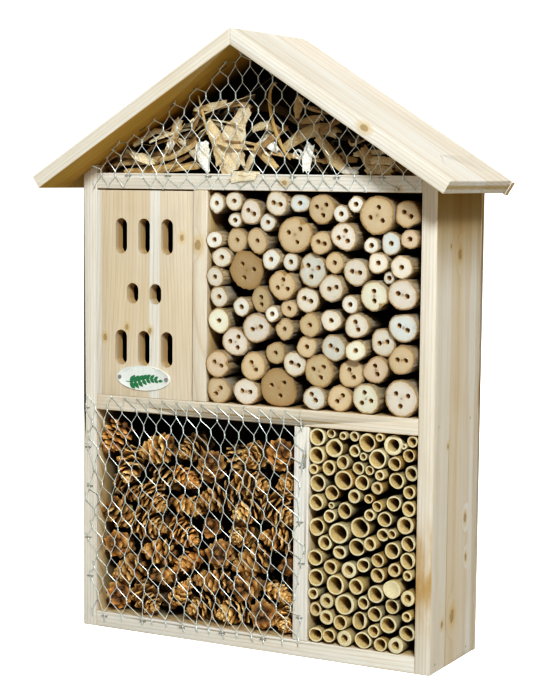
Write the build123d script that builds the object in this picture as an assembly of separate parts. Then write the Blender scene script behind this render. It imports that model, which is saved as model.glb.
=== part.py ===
from build123d import *
import math
import os
import random

import numpy as np

# An insect hotel: a softwood house, open at the front, with one roof and five bays.
# X runs to the right, Y to the back and Z up. The origin is the middle of the footprint of
# the whole object, on the ground. Millimetres and degrees.

# Driving dimensions: carcass
BODY_WIDTH = 340.0
BOARD = 14.0
BOARD_DEPTH = 94.0
BACK_THICKNESS = 6.0
MIDDLE_SHELF_Z = 197.0
TOP_SHELF_Z = 393.0
UPPER_DIVIDER_X = -50.0
LOWER_DIVIDER_X = 50.0

# Driving dimensions: roof
RIDGE_HEIGHT = 526.0
ROOF_PITCH = 32.0
ROOF_LENGTH = 232.0
ROOF_THICKNESS = 12.0
ROOF_OVERHANG = 39.0
ROOF_BACK_GAP = 3.0
BACK_DROP = 1.5

# Driving dimensions: butterfly front and its plate
FRONT_THICKNESS = 12.0
FRONT_CLEARANCE = 1.0
SLOT_WIDTH = 12.0
SLOT_PITCH = 23.5
LONG_SLOT = 31.0
SHORT_SLOT = 18.0
SLOT_ROWS = ((141.0, LONG_SLOT, (-1, 0, 1)), (91.0, SHORT_SLOT, (-0.5, 0.5)), (43.0, LONG_SLOT, (-1, 0, 1)))
PLATE_WIDTH = 55.0
PLATE_HEIGHT = 22.0
PLATE_THICKNESS = 1.2
PLATE_Z = 228.0
PLATE_NAIL_PITCH = 48.0
PLATE_NAIL_R = 0.9
PLATE_NAIL_HEAD_R = 1.7
PLATE_NAIL_HEAD = 0.8
PLATE_NAIL_LENGTH = 9.0

# Driving dimensions: fixings
BRAD_R = 0.8
BRAD_HEAD_R = 1.4
BRAD_HEAD = 1.0
BRAD_LENGTH = 32.0
BRAD_SUNK = 0.4
SHORT_BRAD_LENGTH = 20.0
HANGER_X = 80.0
HANGER_Z = 425.0
HANGER_WIDTH = 22.0
HANGER_HEIGHT = 52.0
HANGER_THICKNESS = 1.6
KEYHOLE_R = 4.5
KEYHOLE_SLOT_R = 2.3
KEYHOLE_RISE = 9.0
HANGER_SCREW_PITCH = 36.0
SCREW_R = 1.5
SCREW_HEAD_R = 3.2
SCREW_LENGTH = 7.0
KEY_ROOM_WIDTH = 10.5
KEY_ROOM_HEIGHT = 21.0

# Driving dimensions: wire netting
WIRE = 0.8
NET_PITCH = 13.5
NET_SIDE = 7.8
CONE_NET_LEAN = 0.25
STAPLE_WIRE = 0.8
STAPLE_WIDTH = 5.0
STAPLE_LEG = 7.0
STAPLE_SPACING = 42.0

# Driving dimensions: fill
GAP = 0.3
CONE_WALL_GAP = 0.8
LOG_DEPTH = 88.0
DRILL_R = 2.4
DRILL_DEPTH = 60.0
CANE_DEPTH = 88.0
CANE_BORE_DEPTH = 68.0
CONE_COUNT = (6, 3, 7)
CONE_LAYERS = 7
CONE_BALLS = ((-9.0, 12.5), (0.0, 12.0), (9.0, 9.0))
CONE_OUTLINE = ((0, -19), (7, -18), (11, -12), (11, 0), (9.5, 6), (5, 15), (0, 18))
CURL_LAYERS = 6
CURL_ROWS = 5
CURL_CHORD = (36, 58)
CURL_GAP = (4, 9)
CURL_END_ROOM = 34
CURL_WIDTH = 9.0
CURL_THICKNESS = 1.2
CURL_ROW_HEIGHT = 15.0

# Each log: place across and up the bay, diameter, number of drilled holes.
LOGS = (
    (7, 171, 16, 1), (25, 173, 16, 1), (41, 164, 21, 2), (68, 172, 20, 2), (88, 172, 16, 1),
    (106, 168, 25, 3), (127, 164, 14, 1), (140, 172, 13, 1), (160, 164, 31, 3), (186, 165, 21, 2),
    (26, 157, 12, 1), (57, 156, 15, 1), (84, 146, 31, 3), (131, 146, 23, 3), (189, 145, 15, 1),
    (27, 140, 20, 1), (109, 140, 19, 2), (48, 140, 20, 1), (6, 139, 15, 1), (154, 139, 13, 1),
    (171, 141, 18, 1), (14, 126, 17, 1), (63, 125, 17, 1), (161, 125, 17, 1), (123, 124, 17, 1),
    (182, 122, 19, 1), (79, 122, 15, 1), (141, 117, 22, 2), (100, 117, 27, 3), (36, 115, 32, 3),
    (170, 113, 10, 1), (8, 108, 17, 1), (74, 104, 25, 3), (120, 103, 22, 2), (183, 100, 25, 2),
    (158, 98, 25, 2), (95, 92, 21, 2), (12, 92, 17, 1), (53, 90, 20, 2), (137, 90, 15, 1),
    (77, 85, 15, 1), (35, 84, 16, 1), (65, 80, 13, 1), (118, 76, 18, 1), (184, 73, 24, 2),
    (142, 73, 21, 2), (12, 71, 21, 1), (100, 71, 19, 1), (74, 67, 18, 1), (48, 66, 25, 2),
    (165, 60, 22, 2), (96, 53, 18, 1), (27, 53, 25, 3), (121, 53, 22, 2), (142, 52, 18, 1),
    (184, 47, 23, 2), (66, 46, 18, 1), (84, 38, 21, 2), (159, 37, 22, 2), (13, 34, 23, 2),
    (47, 33, 23, 2), (108, 33, 26, 3), (136, 33, 23, 2), (67, 16, 32, 3), (183, 15, 30, 3),
    (151, 13, 25, 3), (12, 11, 22, 2), (39, 10, 23, 2), (126, 10, 22, 2), (104, 9, 20, 2),
)
LOG_LAYERS = 9

# Each bamboo cane: place across and up the bay, diameter, bore. A bore of 0 is a closed joint.
CANES = (
    (6, 175, 15, 10), (18, 178, 8, 5), (32, 178, 7, 4), (41, 178, 9, 5), (54, 174, 15, 11),
    (66, 179, 7, 4), (76, 173, 17, 9), (86, 174, 5, 2), (92, 178, 10, 6), (23, 167, 16, 10),
    (42, 166, 10, 6), (50, 162, 7, 4), (64, 162, 16, 12), (90, 166, 11, 8), (7, 160, 15, 10),
    (79, 159, 12, 8), (32, 156, 12, 8), (46, 152, 11, 7), (56, 151, 8, 5), (92, 151, 13, 8),
    (18, 150, 13, 8), (66, 148, 9, 5), (4, 148, 9, 5), (79, 144, 14, 10), (33, 141, 17, 13),
    (49, 140, 13, 9), (63, 137, 11, 6), (6, 137, 15, 11), (92, 136, 11, 7), (21, 129, 13, 9),
    (42, 128, 12, 7), (55, 127, 8, 5), (77, 125, 13, 9), (91, 122, 13, 8), (64, 122, 9, 6),
    (8, 120, 14, 9), (20, 118, 6, 3), (33, 115, 14, 10), (57, 114, 10, 6), (69, 111, 13, 9),
    (19, 109, 11, 7), (88, 108, 15, 9), (47, 102, 18, 13), (77, 100, 8, 5), (7, 99, 15, 12),
    (68, 98, 11, 7), (29, 96, 18, 13), (91, 93, 13, 9), (58, 90, 12, 7), (77, 86, 14, 10),
    (15, 86, 13, 8), (44, 85, 15, 11), (28, 79, 12, 7), (91, 79, 14, 9), (65, 77, 12, 8),
    (7, 73, 14, 10), (51, 71, 12, 8), (79, 70, 12, 7), (92, 67, 9, 5), (37, 65, 14, 7),
    (21, 65, 13, 8), (64, 64, 13, 8), (8, 56, 15, 11), (78, 54, 16, 0), (46, 53, 14, 9),
    (26, 52, 17, 12), (92, 48, 13, 6), (63, 48, 15, 10), (5, 42, 10, 6), (77, 39, 13, 9),
    (51, 39, 11, 7), (35, 37, 18, 12), (18, 37, 13, 6), (92, 33, 9, 5), (62, 31, 13, 9),
    (6, 28, 12, 7), (75, 24, 15, 10), (47, 23, 15, 10), (18, 23, 13, 7), (32, 20, 13, 9),
    (91, 18, 14, 9), (62, 17, 11, 7), (21, 8, 12, 8), (52, 7, 15, 11), (35, 7, 14, 6),
    (8, 7, 13, 9), (68, 6, 12, 8), (82, 6, 14, 6),
)
CANE_LAYERS = 11

# Worked out from the driving dimensions
COS = math.cos(math.radians(ROOF_PITCH))
SIN = math.sin(math.radians(ROOF_PITCH))
SLOPE = SIN / COS
TOTAL_DEPTH = ROOF_OVERHANG + BOARD_DEPTH + BACK_THICKNESS + HANGER_THICKNESS
FRONT = -TOTAL_DEPTH / 2 + ROOF_OVERHANG
REAR = FRONT + BOARD_DEPTH
BACK = REAR + BACK_THICKNESS
INNER = BODY_WIDTH / 2 - BOARD
UNDERSIDE = RIDGE_HEIGHT - ROOF_THICKNESS / COS
MIDDLE_TOP = MIDDLE_SHELF_Z + BOARD
ATTIC_FLOOR = TOP_SHELF_Z + BOARD
FRONT_PANEL_X = (UPPER_DIVIDER_X - BOARD / 2 - INNER) / 2


def underside(x):
    """Height of the roof's underside above the ground at x."""
    return UNDERSIDE - abs(x) * SLOPE


def block(x, y, z):
    """A board from the low to the high end of each pair."""
    low = (x[0], y[0], z[0])
    size = (x[1] - x[0], y[1] - y[0], z[1] - z[0])
    return Pos(*low) * Box(*size, align=(Align.MIN, Align.MIN, Align.MIN))


def along_y(sketch, y):
    """A sketch in X and Z, carried from y[0] to y[1]."""
    return Pos(0, y[1], 0) * Rot(90, 0, 0) * extrude(sketch, y[1] - y[0], dir=(0, 0, 1))


def upright(outline, y):
    """An outline in X and Z, carried from y[0] to y[1]."""
    return along_y(Polygon(*outline, align=None), y)


def save(name, pieces):
    """Write one node, of one solid or of several separate ones."""
    solids = [solid for piece in pieces for solid in piece.solids()]
    shape = solids[0] if len(solids) == 1 else Compound(solids)
    shape.label = name
    export_step(shape, f"parts/{name}.step")


# Fixings. A brad's place has its head at the origin and its shank along -Z.
def brad(place, length=BRAD_LENGTH):
    head = Pos(0, 0, -BRAD_HEAD / 2) * Cylinder(BRAD_HEAD_R, BRAD_HEAD)
    shank = Pos(0, 0, -(BRAD_HEAD + length) / 2) * Cylinder(BRAD_R, length - BRAD_HEAD)
    return place * (head + shank)


def brad_hole(place, length=BRAD_LENGTH):
    """The brad's own room, and the pit that its sunk head leaves in the surface."""
    pit = place * Pos(0, 0, BRAD_HEAD / 2) * Cylinder(BRAD_HEAD_R, BRAD_HEAD)
    return brad(place, length) + pit


SIDE_BRAD_Y = (FRONT + 11, FRONT + 78)
SHELF_MIDDLES = (BOARD / 2, MIDDLE_SHELF_Z + BOARD / 2, TOP_SHELF_Z + BOARD / 2)


def side_brads(side):
    """Brads through one side, -1 left or 1 right, into the three shelves."""
    head_x = side * (BODY_WIDTH / 2 - BRAD_SUNK)
    return [Pos(head_x, y, z) * Rot(0, side * 90, 0) for y in SIDE_BRAD_Y for z in SHELF_MIDDLES]


def roof_brads(side):
    """Upright brads through one roof board into the side below it."""
    x = BODY_WIDTH / 2 - BOARD / 2
    top = underside(x) + ROOF_THICKNESS / COS
    sunk = BRAD_SUNK + BRAD_HEAD_R * SLOPE
    return [Pos(side * x, y, top - sunk) for y in (FRONT + 18, FRONT + 84)]


def divider_brads(x, bottom, top):
    """Brads down into a divider through the shelf above, and up through the board below."""
    down = [Pos(x, y, top + BOARD - BRAD_SUNK) for y in SIDE_BRAD_Y]
    up = [Pos(x, y, bottom - BOARD + BRAD_SUNK) * Rot(180, 0, 0) for y in SIDE_BRAD_Y]
    return down + up


UPPER_BRADS = divider_brads(UPPER_DIVIDER_X, MIDDLE_TOP, TOP_SHELF_Z)
LOWER_BRADS = divider_brads(LOWER_DIVIDER_X, BOARD, MIDDLE_SHELF_Z)
BACK_BRADS = [
    Pos(x, BACK - BRAD_SUNK, z) * Rot(-90, 0, 0)
    for x, z in (
        (-163, 30), (-163, 120), (-163, 290), (-163, 380), (163, 30), (163, 120), (163, 290), (163, 380),
        (-85, 7), (0, 7), (85, 7), (-110, 204), (0, 204), (110, 204), (-110, 400), (0, 400), (110, 400),
    )
]


def cut(board, places, length=BRAD_LENGTH):
    """Take the room of each brad that reaches this board out of it."""
    for place in places:
        board -= brad_hole(place, length)
    return board


# Wire netting: cells in staggered rows, their sides upright, all leaning by the same amount.
def lattice_point(x, z, lean, foot):
    return (x - lean * (z - foot), z)


def cell(centre, grow, lean, foot):
    """One cell's outline, grown outwards by half a wire or shrunk by it."""
    half = NET_PITCH / 2 + grow
    side = NET_SIDE / 2 + grow * math.tan(math.radians(30))
    tip = NET_SIDE + grow / math.cos(math.radians(30))
    corners = ((0, tip), (half, side), (half, -side), (0, -tip), (-half, -side), (-half, side))
    return [lattice_point(centre[0] + x, centre[1] + z, lean, foot) for x, z in corners]


def net_cells(x, z, lean, inside):
    """Centres of the cells that lie inside, row by row upwards from z[0]."""
    cells = []
    row = 0
    z_now = z[0] + NET_SIDE
    while z_now + NET_SIDE <= z[1]:
        x_now = x[0] - abs(lean) * (z[1] - z[0]) + (row % 2) * NET_PITCH / 2
        while x_now < x[1] + abs(lean) * (z[1] - z[0]):
            leant = lattice_point(x_now, z_now, lean, z[0])
            if inside(*leant):
                cells.append((x_now, z_now))
            x_now += NET_PITCH
        z_now += 1.5 * NET_SIDE
        row += 1
    return cells


def net(cells, lean, foot):
    outer = [Polygon(*cell(centre, WIRE / 2, lean, foot), align=None) for centre in cells]
    inner = [Polygon(*cell(centre, -WIRE / 2, lean, foot), align=None) for centre in cells]
    sheet = Sketch() + outer
    return along_y(sheet - inner, (FRONT - WIRE, FRONT))


def staple_places(cells, lean, foot, wanted, weight):
    """The upright wire nearest to each wanted place, with X and Z offsets weighted."""
    uprights = []
    for x, z in cells:
        for side in (-1, 1):
            uprights.append(lattice_point(x + side * NET_PITCH / 2, z, lean, foot))
    made = []
    for target in wanted:
        near = min(uprights, key=lambda point: math.hypot(
            weight[0] * (point[0] - target[0]), weight[1] * (point[1] - target[1])))
        if near not in made:
            made.append(near)
    return made


def staple(place):
    """Crown across the wire in front of the net, two legs back into the board."""
    crown_y = FRONT - WIRE - GAP / 2 - STAPLE_WIRE / 2
    reach = FRONT + STAPLE_LEG - crown_y
    crown = Rot(0, 90, 0) * Cylinder(STAPLE_WIRE / 2, STAPLE_WIDTH + STAPLE_WIRE)
    legs = [
        Pos(side * STAPLE_WIDTH / 2, reach / 2, 0) * Rot(90, 0, 0) * Cylinder(STAPLE_WIRE / 2, reach)
        for side in (-1, 1)
    ]
    return Pos(place[0], crown_y, place[1]) * (crown + legs)


CONE_NET_X = (-INNER - 12, LOWER_DIVIDER_X + 5)
CONE_NET_Z = (3.0, MIDDLE_SHELF_Z + 9)
ATTIC_NET_Z = (TOP_SHELF_Z + 4, RIDGE_HEIGHT)
CONE_CELLS = net_cells(
    CONE_NET_X, CONE_NET_Z, CONE_NET_LEAN,
    lambda x, z: CONE_NET_X[0] + NET_PITCH / 2 <= x <= CONE_NET_X[1] - NET_PITCH / 2,
)
ATTIC_CELLS = net_cells(
    (-INNER, INNER), ATTIC_NET_Z, 0.0,
    lambda x, z: abs(x) < INNER and z + NET_SIDE < underside(abs(x) + NET_PITCH / 2),
)
CONE_STAPLES = staple_places(
    CONE_CELLS, CONE_NET_LEAN, CONE_NET_Z[0],
    [(-160 + step * STAPLE_SPACING, MIDDLE_SHELF_Z + 4) for step in range(6)]
    + [(-150 + step * STAPLE_SPACING, BOARD / 2) for step in range(5)], (1, 4),
) + staple_places(
    CONE_CELLS, CONE_NET_LEAN, CONE_NET_Z[0],
    [(-INNER - BOARD / 2, 40 + step * STAPLE_SPACING) for step in range(4)]
    + [(LOWER_DIVIDER_X, 35 + step * STAPLE_SPACING) for step in range(4)], (4, 1),
)
ATTIC_STAPLES = staple_places(
    ATTIC_CELLS, 0.0, ATTIC_NET_Z[0],
    [(-126 + step * STAPLE_SPACING, ATTIC_NET_Z[0]) for step in range(7)], (1, 4),
)


def staple_holes(board, places):
    """Take out the legs' room for the staples that stand in front of this board."""
    box = board.bounding_box()
    for place in places:
        if box.min.X < place[0] < box.max.X and box.min.Z < place[1] < box.max.Z:
            board -= staple(place)
    return board


# Loose fill: balls pushed apart inside a bay
def settle(points, radii, low, high, links=(), sink=0.0, rounds=900):
    """Move balls until none overlap. Linked balls keep their distance and may overlap."""
    place = np.array(points, float)
    radius = np.array(radii, float)
    free = ~np.eye(len(place), dtype=bool)
    for a, b, _ in links:
        free[a, b] = free[b, a] = False
    reach = radius[:, None] + radius[None, :] + GAP
    for step in range(rounds):
        if step < rounds / 2:
            place[:, -1] -= sink
        between = place[:, None, :] - place[None, :, :]
        distance = np.linalg.norm(between, axis=2) + 1e-9
        overlap = np.where(free, np.maximum(reach - distance, 0), 0)
        place += 0.35 * (between / distance[:, :, None] * overlap[:, :, None]).sum(axis=1)
        for a, b, length in links:
            gap = place[b] - place[a]
            fix = gap * (0.5 - 0.5 * length / np.linalg.norm(gap))
            place[a] += fix
            place[b] -= fix
        place = np.clip(place, low + radius[:, None] + GAP, high - radius[:, None] - GAP)
    return place


def layers(pieces, count):
    """Split pieces, each with its height, into layers from the top down, all about as many."""
    ordered = [piece for _, piece in sorted(pieces, key=lambda pair: -pair[0])]
    size = math.ceil(len(ordered) / count)
    return [ordered[start:start + size] for start in range(0, len(ordered), size)]


def rod(x, z, radius, recess, depth):
    """A round rod that starts a little behind or before the front."""
    return Pos(x, FRONT + recess + depth / 2, z) * Rot(90, 0, 0) * Cylinder(radius, depth)


def drilled_log(x, z, radius, holes, recess, turn):
    log = rod(x, z, radius, recess, LOG_DEPTH)
    ring = (0, 0.32, 0.42)[holes - 1] * radius
    for hole in range(holes):
        angle = turn + hole * math.tau / holes
        at = (x + ring * math.cos(angle), z + ring * math.sin(angle))
        log -= rod(*at, DRILL_R, recess - 1, DRILL_DEPTH + 1)
    return log


def cane(x, z, radius, bore, recess):
    tube = rod(x, z, radius, recess, CANE_DEPTH)
    if bore:
        tube -= rod(x, z, bore / 2, recess - 1, CANE_BORE_DEPTH + 1)
    return tube


def cone_fill():
    """Pine cones as chains of balls, dropped into the lower left bay at random angles."""
    pick = random.Random(11)
    low = np.array((-INNER, FRONT, BOARD)) + CONE_WALL_GAP
    high = np.array((LOWER_DIVIDER_X - BOARD / 2, REAR, MIDDLE_SHELF_Z)) - CONE_WALL_GAP
    room = high - low
    points, radii, links, scales = [], [], [], []
    for index in np.ndindex(*CONE_COUNT):
        centre = low + room * (np.array(index) + 0.5) / np.array(CONE_COUNT)
        turn, tilt = pick.uniform(0, math.tau), pick.gauss(0, 0.45)
        axis = np.array((math.cos(turn) * math.cos(tilt), math.sin(turn) * math.cos(tilt), math.sin(tilt)))
        scale = pick.uniform(0.92, 1.10)
        first = len(points)
        for along, radius in CONE_BALLS:
            points.append(centre + axis * along * scale)
            radii.append(radius * scale)
        for a in range(3):
            for b in range(a + 1, 3):
                links.append((first + a, first + b, (CONE_BALLS[b][0] - CONE_BALLS[a][0]) * scale))
        scales.append(scale)
    place = settle(points, radii, low, high, links, sink=0.12)
    cones = []
    for number, scale in enumerate(scales):
        base, middle, tip = place[3 * number:3 * number + 3]
        outline = Polygon(*[(r * scale, along * scale) for r, along in CONE_OUTLINE], align=None)
        body = revolve(Plane.XZ * outline, Axis.Z)
        aim = Plane(origin=tuple(middle), z_dir=tuple(tip - base))
        cones.append((middle[2], aim * body))
    return cones


def curl_fill(layer):
    """One upright layer of wood curls: arcs in rows under the roof."""
    pick = random.Random(40 + layer)
    pitch = (BOARD_DEPTH - 4) / CURL_LAYERS
    y = FRONT + 3 + layer * pitch
    curls = []
    for row in range(CURL_ROWS):
        z = ATTIC_FLOOR + 5 + row * CURL_ROW_HEIGHT
        half = min(INNER, (UNDERSIDE - z - CURL_ROW_HEIGHT) / SLOPE) - 6
        x = -half + pick.uniform(0, 12)
        while x < half - CURL_END_ROOM:
            chord = min(pick.uniform(*CURL_CHORD), half - x)
            radius = pick.uniform(0.9, 1.6) * chord
            sweep = 2 * math.degrees(math.asin(chord / 2 / radius))
            arc = CenterArc((0, -radius), radius, 90 - sweep / 2, sweep)
            band = Pos(x + chord / 2, z + CURL_ROW_HEIGHT / 2) * SlotArc(arc, CURL_THICKNESS)
            curls.append(along_y(band, (y, y + CURL_WIDTH)))
            x += chord + pick.uniform(*CURL_GAP)
    return curls


# Carcass
def side_panel(side):
    outer, inner = side * BODY_WIDTH / 2, side * INNER
    outline = [(outer, 0), (outer, underside(outer)), (inner, underside(inner)), (inner, 0)]
    panel = upright(outline, (FRONT, REAR))
    panel = cut(panel, side_brads(side) + roof_brads(side))
    panel = cut(panel, [place for place in BACK_BRADS if place.position.X * side > INNER], SHORT_BRAD_LENGTH)
    return staple_holes(panel, CONE_STAPLES)


def shelf(z, brads, staple_places):
    board = block((-INNER, INNER), (FRONT, REAR), (z, z + BOARD))
    board = cut(board, side_brads(-1) + side_brads(1) + brads)
    level = [place for place in BACK_BRADS if z < place.position.Z < z + BOARD]
    back = [place for place in level if abs(place.position.X) < INNER]
    return staple_holes(cut(board, back, SHORT_BRAD_LENGTH), staple_places)


def divider(x, z, brads):
    board = block((x - BOARD / 2, x + BOARD / 2), (FRONT, REAR), z)
    return staple_holes(cut(board, brads), CONE_STAPLES)


def roof_board(side):
    """One roof board: upright mitre at the ridge, square end at the eave."""
    eave_x = ROOF_LENGTH * COS
    eave_z = RIDGE_HEIGHT - ROOF_LENGTH * SIN
    outline = [
        (0, RIDGE_HEIGHT), (side * eave_x, eave_z),
        (side * (eave_x - ROOF_THICKNESS * SIN), eave_z - ROOF_THICKNESS * COS), (0, UNDERSIDE),
    ]
    board = upright(outline, (FRONT - ROOF_OVERHANG, REAR - ROOF_BACK_GAP))
    return cut(board, roof_brads(side))


def back_panel():
    """The whole house outline, eaves included, a little lower than the roof."""
    ridge = RIDGE_HEIGHT - BACK_DROP
    eave_x = ROOF_LENGTH * COS
    eave_z = ridge - ROOF_LENGTH * SIN
    lower_x = eave_x - ROOF_THICKNESS * SIN
    lower_z = eave_z - ROOF_THICKNESS * COS
    neck_z = lower_z + (lower_x - BODY_WIDTH / 2) * SLOPE
    right = [(BODY_WIDTH / 2, 0), (BODY_WIDTH / 2, neck_z), (lower_x, lower_z), (eave_x, eave_z)]
    left = [(-x, z) for x, z in reversed(right)]
    panel = upright(right + [(0, ridge)] + left, (REAR, BACK))
    for x in (-HANGER_X, HANGER_X):
        room = SlotOverall(KEY_ROOM_HEIGHT, KEY_ROOM_WIDTH, rotation=90)
        panel -= along_y(Pos(x, HANGER_Z + KEYHOLE_RISE / 2) * room, (REAR, BACK))
        for z in hanger_screw_heights():
            panel -= screw(x, z)
    return cut(panel, BACK_BRADS, SHORT_BRAD_LENGTH)


def hanger_screw_heights():
    middle = HANGER_Z + KEYHOLE_RISE / 2
    return (middle - HANGER_SCREW_PITCH / 2, middle + HANGER_SCREW_PITCH / 2)


def screw(x, z):
    """A countersunk screw, its head flush with the hanger plate's outer face."""
    head = Cone(SCREW_R, SCREW_HEAD_R, HANGER_THICKNESS, align=(Align.CENTER, Align.CENTER, Align.MIN))
    shank_length = SCREW_LENGTH - HANGER_THICKNESS
    shank = Cylinder(SCREW_R, shank_length, align=(Align.CENTER, Align.CENTER, Align.MAX))
    return Pos(x, BACK, z) * Rot(-90, 0, 0) * (head + shank)


def hanger_plate(x):
    plate = SlotOverall(HANGER_HEIGHT, HANGER_WIDTH, rotation=90)
    plate = Pos(x, HANGER_Z + KEYHOLE_RISE / 2) * plate
    plate -= Pos(x, HANGER_Z) * Circle(KEYHOLE_R)
    plate -= Pos(x, HANGER_Z + KEYHOLE_RISE / 2) * Rectangle(2 * KEYHOLE_SLOT_R, KEYHOLE_RISE)
    plate -= Pos(x, HANGER_Z + KEYHOLE_RISE) * Circle(KEYHOLE_SLOT_R)
    body = along_y(plate, (BACK, BACK + HANGER_THICKNESS))
    for z in hanger_screw_heights():
        body -= screw(x, z)
    return body


def slot_places():
    return [
        (FRONT_PANEL_X + step * SLOT_PITCH, MIDDLE_TOP + z, length)
        for z, length, steps in SLOT_ROWS for step in steps
    ]


def plate_nail(side):
    """A small round-headed nail through the plate into the butterfly front."""
    head = Cylinder(PLATE_NAIL_HEAD_R, PLATE_NAIL_HEAD, align=(Align.CENTER, Align.CENTER, Align.MIN))
    shank = Cylinder(PLATE_NAIL_R, PLATE_NAIL_LENGTH, align=(Align.CENTER, Align.CENTER, Align.MAX))
    x = FRONT_PANEL_X + side * PLATE_NAIL_PITCH / 2
    return Pos(x, FRONT - PLATE_THICKNESS, PLATE_Z) * Rot(90, 0, 0) * (head + shank)


def butterfly_front():
    x = (-INNER + FRONT_CLEARANCE / 2, UPPER_DIVIDER_X - BOARD / 2 - FRONT_CLEARANCE / 2)
    z = (MIDDLE_TOP, TOP_SHELF_Z - FRONT_CLEARANCE)
    panel = block(x, (FRONT, FRONT + FRONT_THICKNESS), z)
    for slot_x, slot_z, length in slot_places():
        slot = Pos(slot_x, slot_z) * SlotOverall(length, SLOT_WIDTH, rotation=90)
        panel -= along_y(slot, (FRONT - 1, FRONT + FRONT_THICKNESS + 1))
    for side in (-1, 1):
        panel -= plate_nail(side)
    return panel


def label_plate():
    oval = Pos(FRONT_PANEL_X, PLATE_Z) * Ellipse(PLATE_WIDTH / 2, PLATE_HEIGHT / 2)
    plate = along_y(oval, (FRONT - PLATE_THICKNESS, FRONT))
    for side in (-1, 1):
        plate -= plate_nail(side)
    return plate


def rods(table, left, floor, right, top):
    """Places of round rods in a bay, pushed apart where they overlap, each with its row of the table."""
    points = [(left + row[0], floor + row[1]) for row in table]
    radii = [row[2] / 2 for row in table]
    place = settle(points, radii, np.array((left, floor)), np.array((right, top)))
    return [(x, z, row) for (x, z), row in zip(place, table)]


def log_fill():
    pick = random.Random(5)
    logs = []
    left = UPPER_DIVIDER_X + BOARD / 2
    for x, z, (_, _, diameter, holes) in rods(LOGS, left, MIDDLE_TOP, INNER, TOP_SHELF_Z):
        recess, turn = pick.uniform(-2.5, 3.5), pick.uniform(0, math.tau)
        logs.append((z, drilled_log(x, z, diameter / 2, holes, recess, turn)))
    return logs


def cane_fill():
    pick = random.Random(8)
    canes = []
    left = LOWER_DIVIDER_X + BOARD / 2
    for x, z, (_, _, diameter, bore) in rods(CANES, left, BOARD, INNER, MIDDLE_SHELF_Z):
        canes.append((z, cane(x, z, diameter / 2, bore, pick.uniform(-2.0, 3.0))))
    return canes


os.makedirs("parts", exist_ok=True)
save("left_side", [side_panel(-1)])
save("right_side", [side_panel(1)])
save("bottom_board", [shelf(0, LOWER_BRADS, CONE_STAPLES)])
save("middle_shelf", [shelf(MIDDLE_SHELF_Z, UPPER_BRADS + LOWER_BRADS, CONE_STAPLES)])
save("top_shelf", [shelf(TOP_SHELF_Z, UPPER_BRADS, ATTIC_STAPLES)])
save("upper_divider", [divider(UPPER_DIVIDER_X, (MIDDLE_TOP, TOP_SHELF_Z), UPPER_BRADS)])
save("lower_divider", [divider(LOWER_DIVIDER_X, (BOARD, MIDDLE_SHELF_Z), LOWER_BRADS)])
save("back_panel", [back_panel()])
save("left_roof_board", [roof_board(-1)])
save("right_roof_board", [roof_board(1)])
save("butterfly_front", [butterfly_front()])
save("label_plate", [label_plate()])
save("label_nails", [plate_nail(-1), plate_nail(1)])
save("attic_net", [net(ATTIC_CELLS, 0.0, ATTIC_NET_Z[0])])
save("cone_bay_net", [net(CONE_CELLS, CONE_NET_LEAN, CONE_NET_Z[0])])
save("attic_net_staples", [staple(place) for place in ATTIC_STAPLES])
save("cone_bay_net_staples", [staple(place) for place in CONE_STAPLES])
save("side_brads", [brad(place) for side in (-1, 1) for place in side_brads(side)])
save("roof_brads", [brad(place) for side in (-1, 1) for place in roof_brads(side)])
save("divider_brads", [brad(place) for place in UPPER_BRADS + LOWER_BRADS])
save("back_brads", [brad(place, SHORT_BRAD_LENGTH) for place in BACK_BRADS])
for name, x in (("left_hanger_plate", -HANGER_X), ("right_hanger_plate", HANGER_X)):
    save(name, [hanger_plate(x)])
save("hanger_screws", [screw(x, z) for x in (-HANGER_X, HANGER_X) for z in hanger_screw_heights()])
for number, layer in enumerate(layers(log_fill(), LOG_LAYERS), 1):
    save(f"log_layer_{number}", layer)
for number, layer in enumerate(layers(cane_fill(), CANE_LAYERS), 1):
    save(f"bamboo_layer_{number}", layer)
for number, layer in enumerate(layers(cone_fill(), CONE_LAYERS), 1):
    save(f"cone_layer_{number}", layer)
for layer in range(CURL_LAYERS):
    save(f"curl_layer_{layer + 1}", curl_fill(layer))
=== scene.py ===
import math
import random

import bmesh
import bpy
import numpy as np
from mathutils import Matrix, Vector
from mathutils.geometry import delaunay_2d_cdt


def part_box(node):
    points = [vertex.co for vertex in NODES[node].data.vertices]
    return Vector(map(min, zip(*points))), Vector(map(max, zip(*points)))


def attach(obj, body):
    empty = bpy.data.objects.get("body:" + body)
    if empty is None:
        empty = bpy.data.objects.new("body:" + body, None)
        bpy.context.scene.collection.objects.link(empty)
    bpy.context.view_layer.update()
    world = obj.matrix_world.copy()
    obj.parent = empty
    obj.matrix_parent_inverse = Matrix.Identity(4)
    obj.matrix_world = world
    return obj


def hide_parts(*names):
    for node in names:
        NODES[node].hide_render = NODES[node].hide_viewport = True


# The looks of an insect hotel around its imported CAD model. Metres, in the model's own frame:
# X to the right, Y from the open front to the back, Z up.

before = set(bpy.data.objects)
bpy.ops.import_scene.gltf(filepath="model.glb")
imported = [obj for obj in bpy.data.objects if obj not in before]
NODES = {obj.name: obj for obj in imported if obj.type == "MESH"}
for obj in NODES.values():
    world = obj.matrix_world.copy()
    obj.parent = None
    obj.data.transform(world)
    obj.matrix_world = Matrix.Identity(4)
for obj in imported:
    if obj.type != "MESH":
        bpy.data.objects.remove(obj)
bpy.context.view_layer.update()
MM = 0.001

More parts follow.
